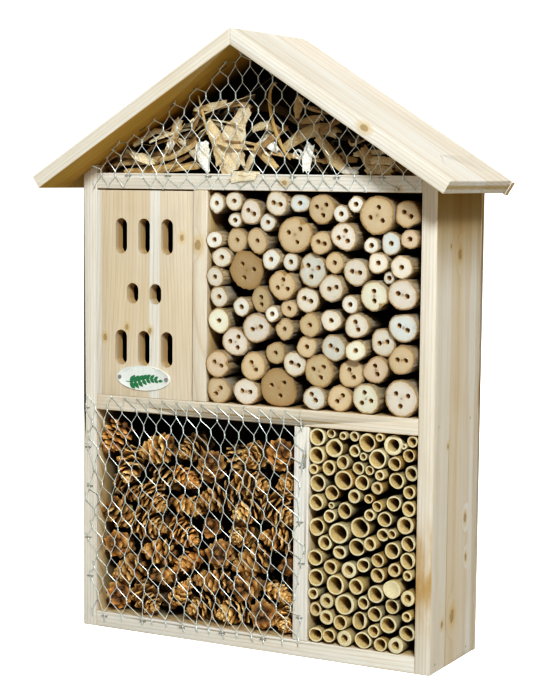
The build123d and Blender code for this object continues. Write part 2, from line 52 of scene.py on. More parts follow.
# Places that the model settles
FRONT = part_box("left_side")[0].y
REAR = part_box("left_side")[1].y
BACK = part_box("back_panel")[1].y
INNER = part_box("right_side")[0].x
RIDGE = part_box("right_roof_board")[1].z
SHELF_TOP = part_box("top_shelf")[1].z
SHELF_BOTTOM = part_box("top_shelf")[0].z
MIDDLE_BOTTOM, MIDDLE_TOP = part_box("middle_shelf")[0].z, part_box("middle_shelf")[1].z
ROOF_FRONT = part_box("right_roof_board")[0].y
EAVE = max(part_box("right_roof_board")[1].x, -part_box("left_roof_board")[0].x)
EAVE_TOP = max(vertex.co.z for vertex in NODES["right_roof_board"].data.vertices if vertex.co.x > EAVE - 1e-5)
ROOF_PITCH = math.atan2(RIDGE - EAVE_TOP, EAVE)
ROOF_THICKNESS = 12 * MM
SLOPE = math.tan(ROOF_PITCH)
UNDERSIDE = RIDGE - ROOF_THICKNESS / math.cos(ROOF_PITCH)
SIDE_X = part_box("right_side")[1].x
EAVE_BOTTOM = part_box("right_side")[1].z


def underside(x):
    """Height of the roof's underside at x."""
    return UNDERSIDE - abs(x) * SLOPE


# ---------------------------------------------------------------- meshes


def placed(name, data):
    """A new object in the scene, with the given mesh, lamp or camera."""
    thing = bpy.data.objects.new(name, data)
    bpy.context.scene.collection.objects.link(thing)
    return thing


def layers(prefix):
    """The names of a bay's CAD layers."""
    return sorted(name for name in NODES if name.startswith(prefix))


def sleeve(rings, around):
    """Faces that join each ring of points to the next one."""
    faces = []
    for ring in range(rings - 1):
        for step in range(around):
            a, b = ring * around + step, ring * around + (step + 1) % around
            faces.append((a, b, b + around, a + around))
    return faces


class Soup:
    """Vertices and faces gathered from many small parts, with a few values on each vertex."""

    def __init__(self):
        self.points, self.faces, self.slots = [], [], []
        self.local, self.tone = [], []

    def add(self, points, faces, slot=0, local=None, tone=(0.5, 0.5, 0.5)):
        first = len(self.points)
        self.points.extend(points)
        self.faces.extend([tuple(first + corner for corner in face) for face in faces])
        self.slots.extend([slot] * len(faces) if isinstance(slot, int) else slot)
        self.local.extend(points if local is None else local)
        self.tone.extend([tone] * len(points) if isinstance(tone[0], float) else tone)

    def piece(self, name, materials, nodes, slot, smooth=40):
        """One object that rides on the model and stands for the given nodes."""
        mesh = bpy.data.meshes.new(name)
        mesh.from_pydata([tuple(point) for point in self.points], [], self.faces)
        for material in materials:
            mesh.materials.append(material)
        mesh.polygons.foreach_set("material_index", self.slots)
        local = mesh.attributes.new("local", "FLOAT_VECTOR", "POINT")
        local.data.foreach_set("vector", np.array(self.local, np.float32).ravel())
        tone = mesh.attributes.new("tone", "FLOAT_COLOR", "POINT")
        colours = np.ones((len(self.tone), 4), np.float32)
        colours[:, :3] = np.array(self.tone, np.float32)
        tone.data.foreach_set("color", colours.ravel())
        mesh.polygons.foreach_set("use_smooth", [True] * len(mesh.polygons))
        mesh.validate()
        mesh.update()
        mesh.set_sharp_from_angle(angle=math.radians(smooth))
        settle(placed(name, mesh), nodes)


def settle(piece, nodes):
    """Fix a finished piece to the model."""
    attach(piece, "root")
    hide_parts(*nodes)


def islands(node):
    """Each separate body of a CAD node, as an array of its corners."""
    work = bmesh.new()
    work.from_mesh(NODES[node].data)
    bmesh.ops.remove_doubles(work, verts=work.verts, dist=1e-6)
    work.verts.ensure_lookup_table()
    seen, found = set(), []
    for start in work.verts:
        if start.index in seen:
            continue
        stack, members = [start], []
        seen.add(start.index)
        while stack:
            vertex = stack.pop()
            members.append(vertex.co[:])
            for edge in vertex.link_edges:
                other = edge.other_vert(vertex)
                if other.index not in seen:
                    seen.add(other.index)
                    stack.append(other)
        found.append(np.array(members))
    work.free()
    return found


def tube(path, radius, sides=6):
    """A closed round tube along a list of points."""
    path = np.array(path, float)
    radii = np.broadcast_to(np.array(radius, float), len(path))
    ahead = np.gradient(path, axis=0)
    ahead /= np.linalg.norm(ahead, axis=1)[:, None] + 1e-12
    side = np.cross(ahead[0], (0.3, 0.9, 0.2))
    side /= np.linalg.norm(side)
    points = []
    for centre, direction, r in zip(path, ahead, radii):
        side = side - direction * side.dot(direction)
        side /= np.linalg.norm(side) + 1e-12
        other = np.cross(direction, side)
        for step in range(sides):
            angle = math.tau * step / sides
            points.append(centre + r * (math.cos(angle) * side + math.sin(angle) * other))
    faces = sleeve(len(path), sides)
    faces.append(tuple(reversed(range(sides))))
    faces.append(tuple(len(points) - sides + step for step in range(sides)))
    return points, faces


# ---------------------------------------------------------------- materials


class Shader:
    """A material's nodes, with a short call for each kind that the looks use."""

    def __init__(self, name, roughness=0.6, specular=0.3):
        self.material = bpy.data.materials.new(name)
        self.material.use_nodes = True
        self.tree = self.material.node_tree
        self.tree.nodes.clear()
        self.surface = self.tree.nodes.new("ShaderNodeBsdfPrincipled")
        self.surface.inputs["Roughness"].default_value = roughness
        self.surface.inputs["Specular IOR Level"].default_value = specular
        output = self.tree.nodes.new("ShaderNodeOutputMaterial")
        self.tree.links.new(self.surface.outputs[0], output.inputs[0])

    def put(self, socket, value):
        if isinstance(value, bpy.types.NodeSocket):
            self.tree.links.new(value, socket)
        else:
            socket.default_value = value

    def place(self):
        return self.tree.nodes.new("ShaderNodeTexCoord").outputs["Object"]

    def value(self, name, output="Vector"):
        node = self.tree.nodes.new("ShaderNodeAttribute")
        node.attribute_name = name
        return node.outputs[output]

    def math(self, operation, a, b=0.0, c=0.0):
        node = self.tree.nodes.new("ShaderNodeMath")
        node.operation = operation
        for socket, value in zip(node.inputs, (a, b, c)):
            self.put(socket, value)
        return node.outputs[0]

    def plus(self, a, b):
        return self.math("ADD", a, b)

    def minus(self, a, b):
        return self.math("SUBTRACT", a, b)

    def times(self, a, b):
        return self.math("MULTIPLY", a, b)

    def scaled(self, a, factor, shift):
        return self.math("MULTIPLY_ADD", a, factor, shift)

    def absolute(self, a):
        return self.math("ABSOLUTE", a)

    def vector(self, operation, a, b=(0, 0, 0)):
        node = self.tree.nodes.new("ShaderNodeVectorMath")
        node.operation = operation
        self.put(node.inputs[0], a)
        self.put(node.inputs[1], b)
        return node.outputs["Value" if operation in ("DOT_PRODUCT", "LENGTH") else "Vector"]

    def split(self, vector):
        node = self.tree.nodes.new("ShaderNodeSeparateXYZ")
        self.put(node.inputs[0], vector)
        return node.outputs

    def join(self, x, y, z):
        node = self.tree.nodes.new("ShaderNodeCombineXYZ")
        for socket, value in zip(node.inputs, (x, y, z)):
            self.put(socket, value)
        return node.outputs[0]

    def noise(self, vector, scale=1.0, detail=2.0, roughness=0.5):
        node = self.tree.nodes.new("ShaderNodeTexNoise")
        self.put(node.inputs["Vector"], vector)
        node.inputs["Scale"].default_value = scale
        node.inputs["Detail"].default_value = detail
        node.inputs["Roughness"].default_value = roughness
        return node.outputs["Fac"]

    def stretched(self, vector, stretch, detail=2.0, roughness=0.5):
        """Noise with its own scale along each axis."""
        return self.noise(self.vector("MULTIPLY", vector, stretch), 1.0, detail, roughness)

    def random(self, number):
        """Three random numbers for each value of number."""
        node = self.tree.nodes.new("ShaderNodeTexWhiteNoise")
        node.noise_dimensions = "1D"
        self.put(node.inputs["W"], number)
        return self.split(node.outputs["Color"])

    def ramp(self, factor, stops, mode="LINEAR"):
        node = self.tree.nodes.new("ShaderNodeValToRGB")
        node.color_ramp.interpolation = mode
        elements = node.color_ramp.elements
        while len(elements) < len(stops):
            elements.new(0.5)
        for element, (position, colour) in zip(elements, stops):
            element.position = position
            element.color = (*colour, 1) if isinstance(colour, tuple) else (colour, colour, colour, 1)
        self.put(node.inputs[0], factor)
        return node.outputs[0]

    def mix(self, factor, a, b, blend="MIX"):
        node = self.tree.nodes.new("ShaderNodeMix")
        node.data_type, node.blend_type = "RGBA", blend
        self.put(node.inputs[0], factor)
        for socket, value in ((node.inputs[6], a), (node.inputs[7], b)):
            self.put(socket, (*value, 1) if isinstance(value, tuple) else value)
        return node.outputs[2]

    def shade(self, factor, colour, tone):
        """Multiplies a colour by a tone, as much as factor says."""
        return self.mix(factor, colour, tone, "MULTIPLY")

    def range(self, value, low, high, out_low=0.0, out_high=1.0, smooth=True):
        node = self.tree.nodes.new("ShaderNodeMapRange")
        node.interpolation_type = "SMOOTHSTEP" if smooth else "LINEAR"
        for socket, number in zip(node.inputs, (value, low, high, out_low, out_high)):
            self.put(socket, number)
        return node.outputs[0]

    def bump(self, height, distance, strength=1.0):
        node = self.tree.nodes.new("ShaderNodeBump")
        node.inputs["Strength"].default_value = strength
        node.inputs["Distance"].default_value = distance
        self.put(node.inputs["Height"], height)
        self.put(self.surface.inputs["Normal"], node.outputs[0])

    def finish(self, colour, roughness=None):
        self.put(self.surface.inputs["Base Color"], colour)
        if roughness is not None:
            self.put(self.surface.inputs["Roughness"], roughness)
        return self.material


CREAM = (0.76, 0.685, 0.56)
PALE = (0.80, 0.77, 0.715)
TAN = (0.70, 0.56, 0.38)
LATE = (0.58, 0.40, 0.21)
RING_WIDTH = 3 * MM
KNOT = (0.27, 0.16, 0.06)
KNOT_STREAK = (0.50, 0.34, 0.16)
KNOT_HALO = (0.60, 0.42, 0.19)
BLOTCH = (0.93, 0.84, 0.66)
GLUE = (0.36, 0.22, 0.08)
RESIN = (0.48, 0.28, 0.08)
# Colours of painted shade: under the eaves, on downward faces and eave ends, inside the bays, and deep behind
# the open front
EAVE_SHADOW_OCHRE, UNDER_SHADE_OCHRE, END_SHADE_OCHRE = (0.42, 0.28, 0.04), (0.76, 0.52, 0.10), (0.72, 0.56, 0.26)
BAY_SHADE_AMBER, BAY_SHADE_DARK = (1.0, 0.80, 0.46), (0.03, 0.02, 0.008)
DEPTH_SHADE = (0.035, 0.022, 0.01)


def depth_shaded(shader, colour, start, end, amount):
    """Painted shade: darkens a material from one depth behind the open front to another, for the shade deep
    in the recesses.
    """
    depth = shader.minus(shader.split(shader.place())[1], FRONT)
    return shader.mix(shader.range(depth, start, end, 0.0, amount), colour, DEPTH_SHADE)


def seam_line(shader, colour, wavy, across, along, seam, top):
    """A dark open glue line that fades out near its top."""
    wander = shader.scaled(shader.noise(wavy, 4.0, 1.0), 1.6 * MM, -0.8 * MM)
    gap = shader.absolute(shader.minus(shader.plus(across, wander), seam))
    mask = shader.range(gap, 0.2 * MM, 0.7 * MM, 0.75, 0.0)
    mask = shader.times(mask, shader.range(along, top - 30 * MM, top, 1.0, 0.0))
    return shader.mix(mask, colour, GLUE)


def resin_stain(shader, colour, wavy, y, z, middle):
    """A brown resin stain on a board's front face, about the height middle."""
    off = shader.absolute(shader.minus(z, middle))
    mask = shader.times(shader.range(off, 4 * MM, 66 * MM, 1.0, 0.0),
                        shader.range(y, FRONT + 0.2 * MM, FRONT + 1.6 * MM, 1.0, 0.0))
    cloud = shader.range(shader.noise(wavy, 11.0, 4.0), 0.34, 0.66, 0.15, 0.9)
    return shader.mix(shader.times(mask, cloud), colour, RESIN)


def eave_shadow(shader, colour, x, z):
    """Painted shadow: the deep ochre shade that the eaves cast at the top of a side."""
    high = shader.range(z, EAVE_BOTTOM - 110 * MM, EAVE_BOTTOM - 20 * MM, 0.0, 0.9)
    outside = shader.range(shader.absolute(x), SIDE_X - 0.4 * MM, SIDE_X - 0.1 * MM)
    return shader.shade(shader.times(high, outside), colour, EAVE_SHADOW_OCHRE)


def downward_shade(shader, colour):
    """Painted warm shade on faces that look down, such as the roof's underside, and on the roof's eave ends,
    by which way a face looks.
    """
    down = shader.split(shader.tree.nodes.new("ShaderNodeNewGeometry").outputs["Normal"])[2]
    colour = shader.shade(shader.range(down, -0.83, -0.72, 0.95, 0.0), colour, UNDER_SHADE_OCHRE)
    off = shader.absolute(shader.plus(down, math.sin(ROOF_PITCH)))
    return shader.shade(shader.range(off, 0.02, 0.05, 0.8, 0.0), colour, END_SHADE_OCHRE)


def bay_shade(shader, colour, x, y, z, start):
    """Painted shade inside the bays: a warm amber tint just behind the open front, then darkness from the
    depth start backwards.
    """
    width = shader.absolute(x)
    between = shader.range(width, INNER + 0.5 * MM, INNER + 1 * MM, 1.0, 0.0)
    roof = shader.scaled(width, SLOPE, z)
    under = shader.range(roof, UNDERSIDE + 0.3 * MM, UNDERSIDE + 1 * MM, 1.0, 0.0)
    ahead = shader.range(y, REAR + 0.5 * MM, REAR + 1 * MM, 1.0, 0.0)
    hidden = shader.times(shader.times(between, under), ahead)
    depth = shader.minus(y, FRONT)
    warm = shader.times(hidden, shader.range(depth, 0.5 * MM, 8 * MM, 0.0, 0.9))
    dark = shader.times(hidden, shader.range(depth, start, start + 38 * MM, 0.0, 0.95))
    return shader.mix(dark, shader.shade(warm, colour, BAY_SHADE_AMBER), BAY_SHADE_DARK)


def board_wood(name, grain, across, staves, pale, seed, knots=(), seam=None, stain=None,
               eave_shadowed=False, shade_start=4 * MM):
    """Bare softwood glued from staves. grain and across are directions; staves are the glue
    lines' places across; pale is each stave's paleness from 0 to 1; a knot is (x, y, z, radius).
    seam is (place across, top), and stain the height of a resin stain on the front face."""
    shader = Shader(name, specular=0.25)
    thick = Vector(grain).cross(Vector(across))
    place = shader.place()
    s, u, v = (shader.vector("DOT_PRODUCT", place, tuple(axis)) for axis in (grain, across, thick))
    number = seed
    for edge in staves:
        number = shader.plus(number, shader.math("GREATER_THAN", u, edge))
    chance = shader.random(number)
    # Each stave has its own pith line, some way off to one side of it
    pith_u = shader.scaled(chance[0], 0.10, -0.05)
    pith_v = shader.scaled(chance[1], 0.07, 0.025)
    shift = shader.times(chance[2], 3.0)

    def drawn_out(side, length):
        """A place scaled by side across the grain and by length along it."""
        return shader.join(shader.times(u, side), shader.scaled(s, length, shift), shader.times(v, side))

    slow = drawn_out(9.0, 2.2)
    sway = shader.scaled(shader.noise(slow), 0.034, -0.017)
    along_u = shader.minus(shader.plus(u, sway), pith_u)
    distance = shader.vector("LENGTH", shader.join(along_u, shader.minus(v, pith_v), 0.0))
    knot_mask, knot_ring = 0.0, 0.0
    for *centre, radius in knots:
        offset = shader.vector("SUBTRACT", place, tuple(centre))
        along = shader.times(shader.vector("DOT_PRODUCT", offset, tuple(grain)), 0.7)
        aside = shader.vector("DOT_PRODUCT", offset, tuple(across))
        within = shader.vector("DOT_PRODUCT", offset, tuple(thick))
        ragged = shader.scaled(shader.noise(place, 320.0), radius * 0.9, -radius * 0.45)
        away = shader.plus(shader.vector("LENGTH", shader.join(along, aside, within)), ragged)
        # The rings bulge around a knot
        distance = shader.plus(distance, shader.range(away, radius * 0.5, radius * 4.0, radius * 0.6, 0.0))
        mask = shader.range(away, radius * 0.75, radius * 1.05, 1.0, 0.0)
        halo = shader.range(away, radius * 0.9, radius * 2.6, 0.75, 0.0)
        knot_mask = shader.math("MAXIMUM", knot_mask, mask)
        knot_ring = shader.math("MAXIMUM", knot_ring, halo)
    fibre = shader.noise(drawn_out(900.0, 22.0), 1.0, 3.0, 0.6)
    band = shader.noise(drawn_out(150.0, 5.0))
    rings = shader.math("FRACT", shader.math("DIVIDE", distance, RING_WIDTH))
    line = shader.ramp(rings, ((0.0, 0.1), (0.35, 0.0), (0.74, 0.35), (0.92, 1.0), (1.0, 0.12)))
    stave = shader.math("DIVIDE", shader.minus(number, seed - 0.5), len(pale))
    tones = shader.ramp(stave, [(index / len(pale), value) for index, value in enumerate(pale)], "CONSTANT")
    colour = shader.mix(tones, shader.mix(0.35, TAN, CREAM), PALE)
    colour = shader.shade(shader.times(band, 0.55), colour, shader.mix(0.5, TAN, CREAM))
    colour = shader.mix(shader.times(line, 0.42), colour, LATE)
    colour = shader.shade(shader.range(fibre, 0.35, 0.75, 0.0, 0.22), colour, TAN)
    colour = shader.shade(shader.range(shader.noise(place, 11.0), 0.45, 0.75, 0.0, 0.25), colour, BLOTCH)
    if knots:
        colour = shader.mix(shader.times(knot_ring, 0.8), colour, KNOT_HALO)
        inside = shader.mix(shader.noise(place, 900.0), KNOT, KNOT_STREAK)
        colour = shader.mix(shader.times(knot_mask, 0.8), colour, inside)
    x, y, z = shader.split(place)[:]
    if seam:
        colour = seam_line(shader, colour, slow, u, s, *seam)
    if stain:
        colour = resin_stain(shader, colour, slow, y, z, stain)
    # Painted shadow that the eaves cast on the side boards
    if eave_shadowed:
        colour = eave_shadow(shader, colour, x, z)
    # Painted shade: warm shade on faces that look down and on the eave ends, and the shade inside the bays
    colour = bay_shade(shader, downward_shade(shader, colour), x, y, z, shade_start)
    shader.bump(shader.plus(shader.times(line, 0.5), fibre), 0.25 * MM, 0.5)
    return shader.finish(colour, shader.range(fibre, 0.3, 0.8, 0.52, 0.74, False))


def metal(name, colour, roughness):
    """Zinc or bright steel, a little mottled."""
    shader = Shader(name, roughness)
    shader.surface.inputs["Metallic"].default_value = 0.85
    spangle = shader.noise(shader.place(), 900.0, 3.0, 0.6)
    tint = shader.mix(shader.range(spangle, 0.35, 0.7, 0.0, 0.25), colour, (0.42, 0.42, 0.41))
    shader.bump(spangle, 0.08 * MM, 0.4)
    rough = shader.range(spangle, 0.3, 0.7, roughness - 0.08, roughness + 0.15, False)
    return shader.finish(tint, rough)


def log_face():
    """Sawn end grain: rings about the log's middle, a pith, drying cracks and saw fuzz.
    The local attribute is (x, share of the way out to the rim, z) from the log's middle."""
    shader = Shader("log_end_grain", 0.75, 0.2)
    x, out, z = shader.split(shader.value("local"))[:]
    place = shader.place()
    warp = shader.scaled(shader.noise(place, 120.0), 1.8 * MM, -0.9 * MM)
    distance = shader.plus(shader.vector("LENGTH", shader.join(x, 0.0, z)), warp)
    rings = shader.math("FRACT", shader.times(distance, 720.0))
    line = shader.ramp(rings, ((0.0, 0.0), (0.6, 0.1), (0.88, 1.0), (1.0, 0.0)))
    ray = shader.stretched(shader.join(shader.math("ARCTAN2", z, x), distance, 0.0), (9.0, 60.0, 1.0), 3.0)
    grit = shader.noise(place, 2600.0, 3.0, 0.7)
    saw = shader.stretched(shader.value("local"), (300.0, 0.0, 1400.0))
    colour = shader.shade(shader.times(line, 0.30), shader.value("tone", "Color"), (0.55, 0.38, 0.2))
    colour = shader.shade(shader.range(ray, 0.5, 0.75, 0.0, 0.22), colour, (0.66, 0.5, 0.32))
    colour = shader.shade(shader.range(grit, 0.45, 0.7, 0.0, 0.3), colour, (0.78, 0.66, 0.48))
    pith = shader.range(distance, 0.7 * MM, 1.6 * MM, 0.55, 0.0)
    colour = shader.mix(pith, colour, (0.3, 0.17, 0.08))
    out = shader.plus(out, shader.scaled(shader.noise(place, 420.0, 3.0), 0.16, -0.08))
    # Darker towards the rim: the bark's own dark ring at the face's edge, with painted shade on the outer
    # part of the face
    rim = shader.range(out, 0.87, 0.97, 0.0, 0.9)
    heart = shader.range(out, 0.08, 0.42, 0.22, 0.0)
    darker_outside = shader.range(out, 0.5, 1.0, 0.0, 0.35)
    colour = shader.mix(rim, colour, (0.43, 0.27, 0.11))
    colour = shader.shade(heart, colour, (0.66, 0.48, 0.28))
    colour = shader.shade(darker_outside, colour, (0.80, 0.62, 0.38))
    shader.bump(shader.plus(grit, saw), 0.6 * MM, 0.7)
    return shader.finish(colour)


def log_bark():
    """Thin rough bark and peeled wood along a log's side."""
    shader = Shader("log_bark", 0.85, 0.15)
    ridges = shader.stretched(shader.value("local"), (420.0, 60.0, 420.0), 4.0, 0.65)
    patch = shader.noise(shader.place(), 70.0, 3.0)
    colour = shader.mix(shader.range(ridges, 0.35, 0.7), (0.34, 0.22, 0.10), (0.66, 0.52, 0.33))
    colour = shader.mix(shader.range(patch, 0.45, 0.65), colour, (0.52, 0.44, 0.33))
    colour = shader.shade(0.25, colour, shader.value("tone", "Color"))
    shader.bump(ridges, 1.2 * MM, 0.9)
    # Painted shade: the bark darkens deeper behind the open front, where the logs shade each other
    return shader.finish(depth_shaded(shader, colour, 3 * MM, 27 * MM, 0.97))


def bore_wood(name, colour):
    """The rough inside of a drilled hole or a cane."""
    shader = Shader(name, 0.8, 0.15)
    grit = shader.noise(shader.place(), 1800.0, 3.0, 0.6)
    tint = shader.mix(shader.range(grit, 0.35, 0.7), colour, tuple(0.6 * value for value in colour))
    shader.bump(grit, 0.4 * MM, 0.6)
    # Painted shade: the bore darkens deeper inside
    return shader.finish(depth_shaded(shader, tint, 5 * MM, 30 * MM, 0.95))


def cane_skin():
    """The silky outside of a bamboo cane, with long fibres and faint brown spots."""
    shader = Shader("cane_skin", 0.42, 0.4)
    fibre = shader.stretched(shader.value("local"), (900.0, 18.0, 900.0), 3.0, 0.6)
    spots = shader.noise(shader.place(), 160.0, 3.0, 0.6)
    tone = shader.value("tone", "Color")
    colour = shader.shade(shader.range(fibre, 0.35, 0.7, 0.0, 0.5), tone, (0.72, 0.56, 0.28))
    colour = shader.mix(shader.range(spots, 0.58, 0.72, 0.0, 0.6), colour, (0.36, 0.2, 0.08))
    # Painted shade: the skin darkens deeper behind the open front, between the canes
    colour = depth_shaded(shader, colour, 2 * MM, 19 * MM, 0.97)
    shader.bump(fibre, 0.2 * MM, 0.5)
    return shader.finish(colour, shader.range(fibre, 0.3, 0.7, 0.36, 0.6, False))


def cane_rim():
    """A cane's sawn rim: pale and fibrous, with dark dots."""
    shader = Shader("cane_rim", 0.7, 0.2)
    dots = shader.noise(shader.place(), 1900.0, 2.0, 0.6)
    tone = shader.value("tone", "Color")
    shader.bump(dots, 0.3 * MM, 0.5)
    return shader.finish(shader.shade(shader.range(dots, 0.5, 0.68, 0.0, 0.55), tone, (0.55, 0.36, 0.16)))


def cone_scale():
    """A pine cone's scales: near-black at the root as painted shade where the scales overlap, warm brown
    outside, and paler towards the tip.
    """
    shader = Shader("cone_scale", 0.62, 0.3)
    along, _, chance = shader.split(shader.value("local"))[:]
    streaks = shader.stretched(shader.place(), (500.0, 500.0, 500.0), 3.0, 0.6)
    # Along each scale: painted shade at the root, where the scales overlap, then brown, paler at the tip
    colour = shader.ramp(along, (
        (0.0, (0.012, 0.005, 0.001)), (0.45, (0.09, 0.040, 0.010)), (0.74, (0.37, 0.185, 0.050)),
        (0.92, (0.58, 0.35, 0.115)), (1.0, (0.78, 0.56, 0.27))))
    colour = shader.shade(shader.range(chance, 0.0, 1.0, 0.0, 0.55, False), colour, (0.95, 0.62, 0.33))
    colour = shader.mix(shader.range(streaks, 0.4, 0.7, 0.0, 0.5), colour, (0.42, 0.24, 0.1))
    colour = shader.shade(1.0, colour, shader.value("tone", "Color"))
    shader.bump(streaks, 0.4 * MM, 0.6)
    # Painted shade: the cones darken deeper behind the open front
    return shader.finish(depth_shaded(shader, colour, 12 * MM, 38 * MM, 0.95))


def curl_wood():
    """Wood curls and bark strips: long fibres with darker patches."""
    shader = Shader("curl_wood", 0.7, 0.25)
    fibres = shader.stretched(shader.value("local"), (28.0, 1400.0, 91.0), 4.0, 0.65)
    patch = shader.noise(shader.place(), 90.0)
    tone = shader.value("tone", "Color")
    colour = shader.shade(shader.range(fibres, 0.35, 0.72, 0.0, 0.7), tone, (0.58, 0.40, 0.2))
    colour = shader.shade(shader.range(patch, 0.5, 0.7, 0.0, 0.4), colour, (0.75, 0.6, 0.38))
    shader.bump(fibres, 0.6 * MM, 0.8)
    # Painted shade: the strips darken deeper inside the attic
    return shader.finish(depth_shaded(shader, colour, 9 * MM, 32 * MM, 0.96))


# ---------------------------------------------------------------- camera, light and floor


# Yaw, pitch and roll in degrees; lengths of the camera's own parts in millimetres
CAMERA_ANGLES = (28.26, 5.43, 0.55)
CAMERA_PLACE = (0.7335, FRONT - 1.3217, 0.4067)
SENSOR_WIDTH, FOCAL_LENGTH = 36.0, 117.76


def camera():
    """Right of the house and level with its eaves, looking a little down."""
    yaw, pitch, roll = (math.radians(angle) for angle in CAMERA_ANGLES)
    data = bpy.data.cameras.new("camera")
    data.sensor_fit = "HORIZONTAL"
    data.sensor_width = SENSOR_WIDTH
    data.lens = FOCAL_LENGTH
    ahead = Vector((-math.sin(yaw) * math.cos(pitch), math.cos(yaw) * math.cos(pitch), -math.sin(pitch)))
    right = Vector((math.cos(yaw), math.sin(yaw), 0))
    up = right.cross(ahead)
    turned = right * math.cos(roll) + up * math.sin(roll)
    upright = up * math.cos(roll) - right * math.sin(roll)
    rotation = Matrix((turned, upright, -ahead)).transposed().to_4x4()
    view = placed("camera", data)
    view.matrix_world = Matrix.Translation(Vector(CAMERA_PLACE)) @ rotation
    bpy.context.scene.camera = view


def area_light(name, place, aim, size, power, colour=(1, 1, 1)):
    """A round lamp of the given width, turned towards aim."""
    data = bpy.data.lights.new(name, "AREA")
    data.shape, data.size, data.energy, data.color = "DISK", size, power, colour
    light = placed(name, data)
    light.location = place
    light.rotation_euler = (Vector(aim) - Vector(place)).to_track_quat("-Z", "Y").to_euler()


SURROUND_STRENGTH = 0.17
SURROUND_TINT = (1.0, 0.74, 0.30)
FLOOR_REACH = 6.0


def studio():
    """Lamps, a warm surround that the camera sees as white, and a white floor."""
    area_light("key", (1.50, -2.20, 2.00), (0, 0, 0.25), 0.55, 87, (0.75, 0.87, 1.0))
    area_light("top", (-0.1, -0.5, 2.4), (0, 0, 0.3), 1.2, 3, (0.84, 0.92, 1.0))
    area_light("front", (-0.7, -2.4, 0.6), (0, 0, 0.2), 1.4, 8, (0.80, 0.90, 1.0))
    area_light("side", (2.2, -0.5, 0.15), (0, 0, 0.15), 1.0, 9, (0.82, 0.91, 1.0))
    area_light("back", (-0.6, 2.4, 1.4), (0, 0, 0.3), 1.6, 22)
    world = bpy.data.worlds.new("studio")
    world.use_nodes = True
    tree = world.node_tree
    background = tree.nodes["Background"]
    seen = tree.nodes.new("ShaderNodeLightPath").outputs["Is Camera Ray"]
    strength = tree.nodes.new("ShaderNodeMapRange")
    strength.inputs[3].default_value = SURROUND_STRENGTH
    strength.inputs[4].default_value = 1.0
    tint = tree.nodes.new("ShaderNodeMix")
    tint.data_type = "RGBA"
    tint.inputs[6].default_value = (*SURROUND_TINT, 1)
    tint.inputs[7].default_value = (1, 1, 1, 1)
    for source, target in ((seen, strength.inputs[0]), (strength.outputs[0], background.inputs[1]),
                           (seen, tint.inputs[0]), (tint.outputs[2], background.inputs[0])):
        tree.links.new(source, target)
    bpy.context.scene.world = world
    bpy.context.scene.view_settings.view_transform = "Standard"
    bpy.context.scene.view_settings.look = "High Contrast"
    work = bmesh.new()
    bmesh.ops.create_grid(work, x_segments=24, y_segments=24, size=FLOOR_REACH)
    mesh = bpy.data.meshes.new("floor")
    work.to_mesh(mesh)
    work.free()
    mesh.materials.append(floor_paint())
    floor = placed("floor", mesh)


def floor_paint():
    """Grey to the light and glowing white to the camera, so the backdrop stays plain."""
    shader = Shader("floor_paint", 0.9, 0.1)
    grain = shader.noise(shader.place(), 40.0)
    seen = shader.tree.nodes.new("ShaderNodeLightPath").outputs["Is Camera Ray"]
    colour = shader.mix(seen, (0.5, 0.5, 0.5), shader.mix(grain, (0.93, 0.93, 0.93), (0.95, 0.95, 0.95)))
    shader.put(shader.surface.inputs["Emission Color"], colour)
    shader.put(shader.surface.inputs["Emission Strength"], seen)
    return shader.finish(colour)


# ---------------------------------------------------------------- boards


def eased_board(node, material, ease=0.9 * MM, shortest=12 * MM):
    """A copy of a board with its long edges rounded over, as sanded softwood has."""
    work = bmesh.new()
    work.from_mesh(NODES[node].data)
    bmesh.ops.remove_doubles(work, verts=work.verts, dist=1e-6)
    flat = [edge for edge in work.edges if len(edge.link_faces) == 2 and edge.calc_face_angle(0) < 0.01]
    bmesh.ops.dissolve_edges(work, edges=flat, use_verts=False)
    bmesh.ops.dissolve_limit(work, angle_limit=0.02, verts=work.verts, edges=work.edges)
    long = [
        edge for edge in work.edges
        if edge.calc_length() > shortest and edge.calc_face_angle(0) > math.radians(20)
    ]
    bmesh.ops.bevel(work, geom=long, offset=ease, segments=3, profile=0.5, affect="EDGES", clamp_overlap=True)
    mesh = bpy.data.meshes.new(f"{node}_eased")
    work.to_mesh(mesh)
    work.free()
    mesh.materials.append(material)
    mesh.polygons.foreach_set("use_smooth", [True] * len(mesh.polygons))
    mesh.set_sharp_from_angle(angle=math.radians(32))
    settle(placed(f"{node}_eased", mesh), [node])


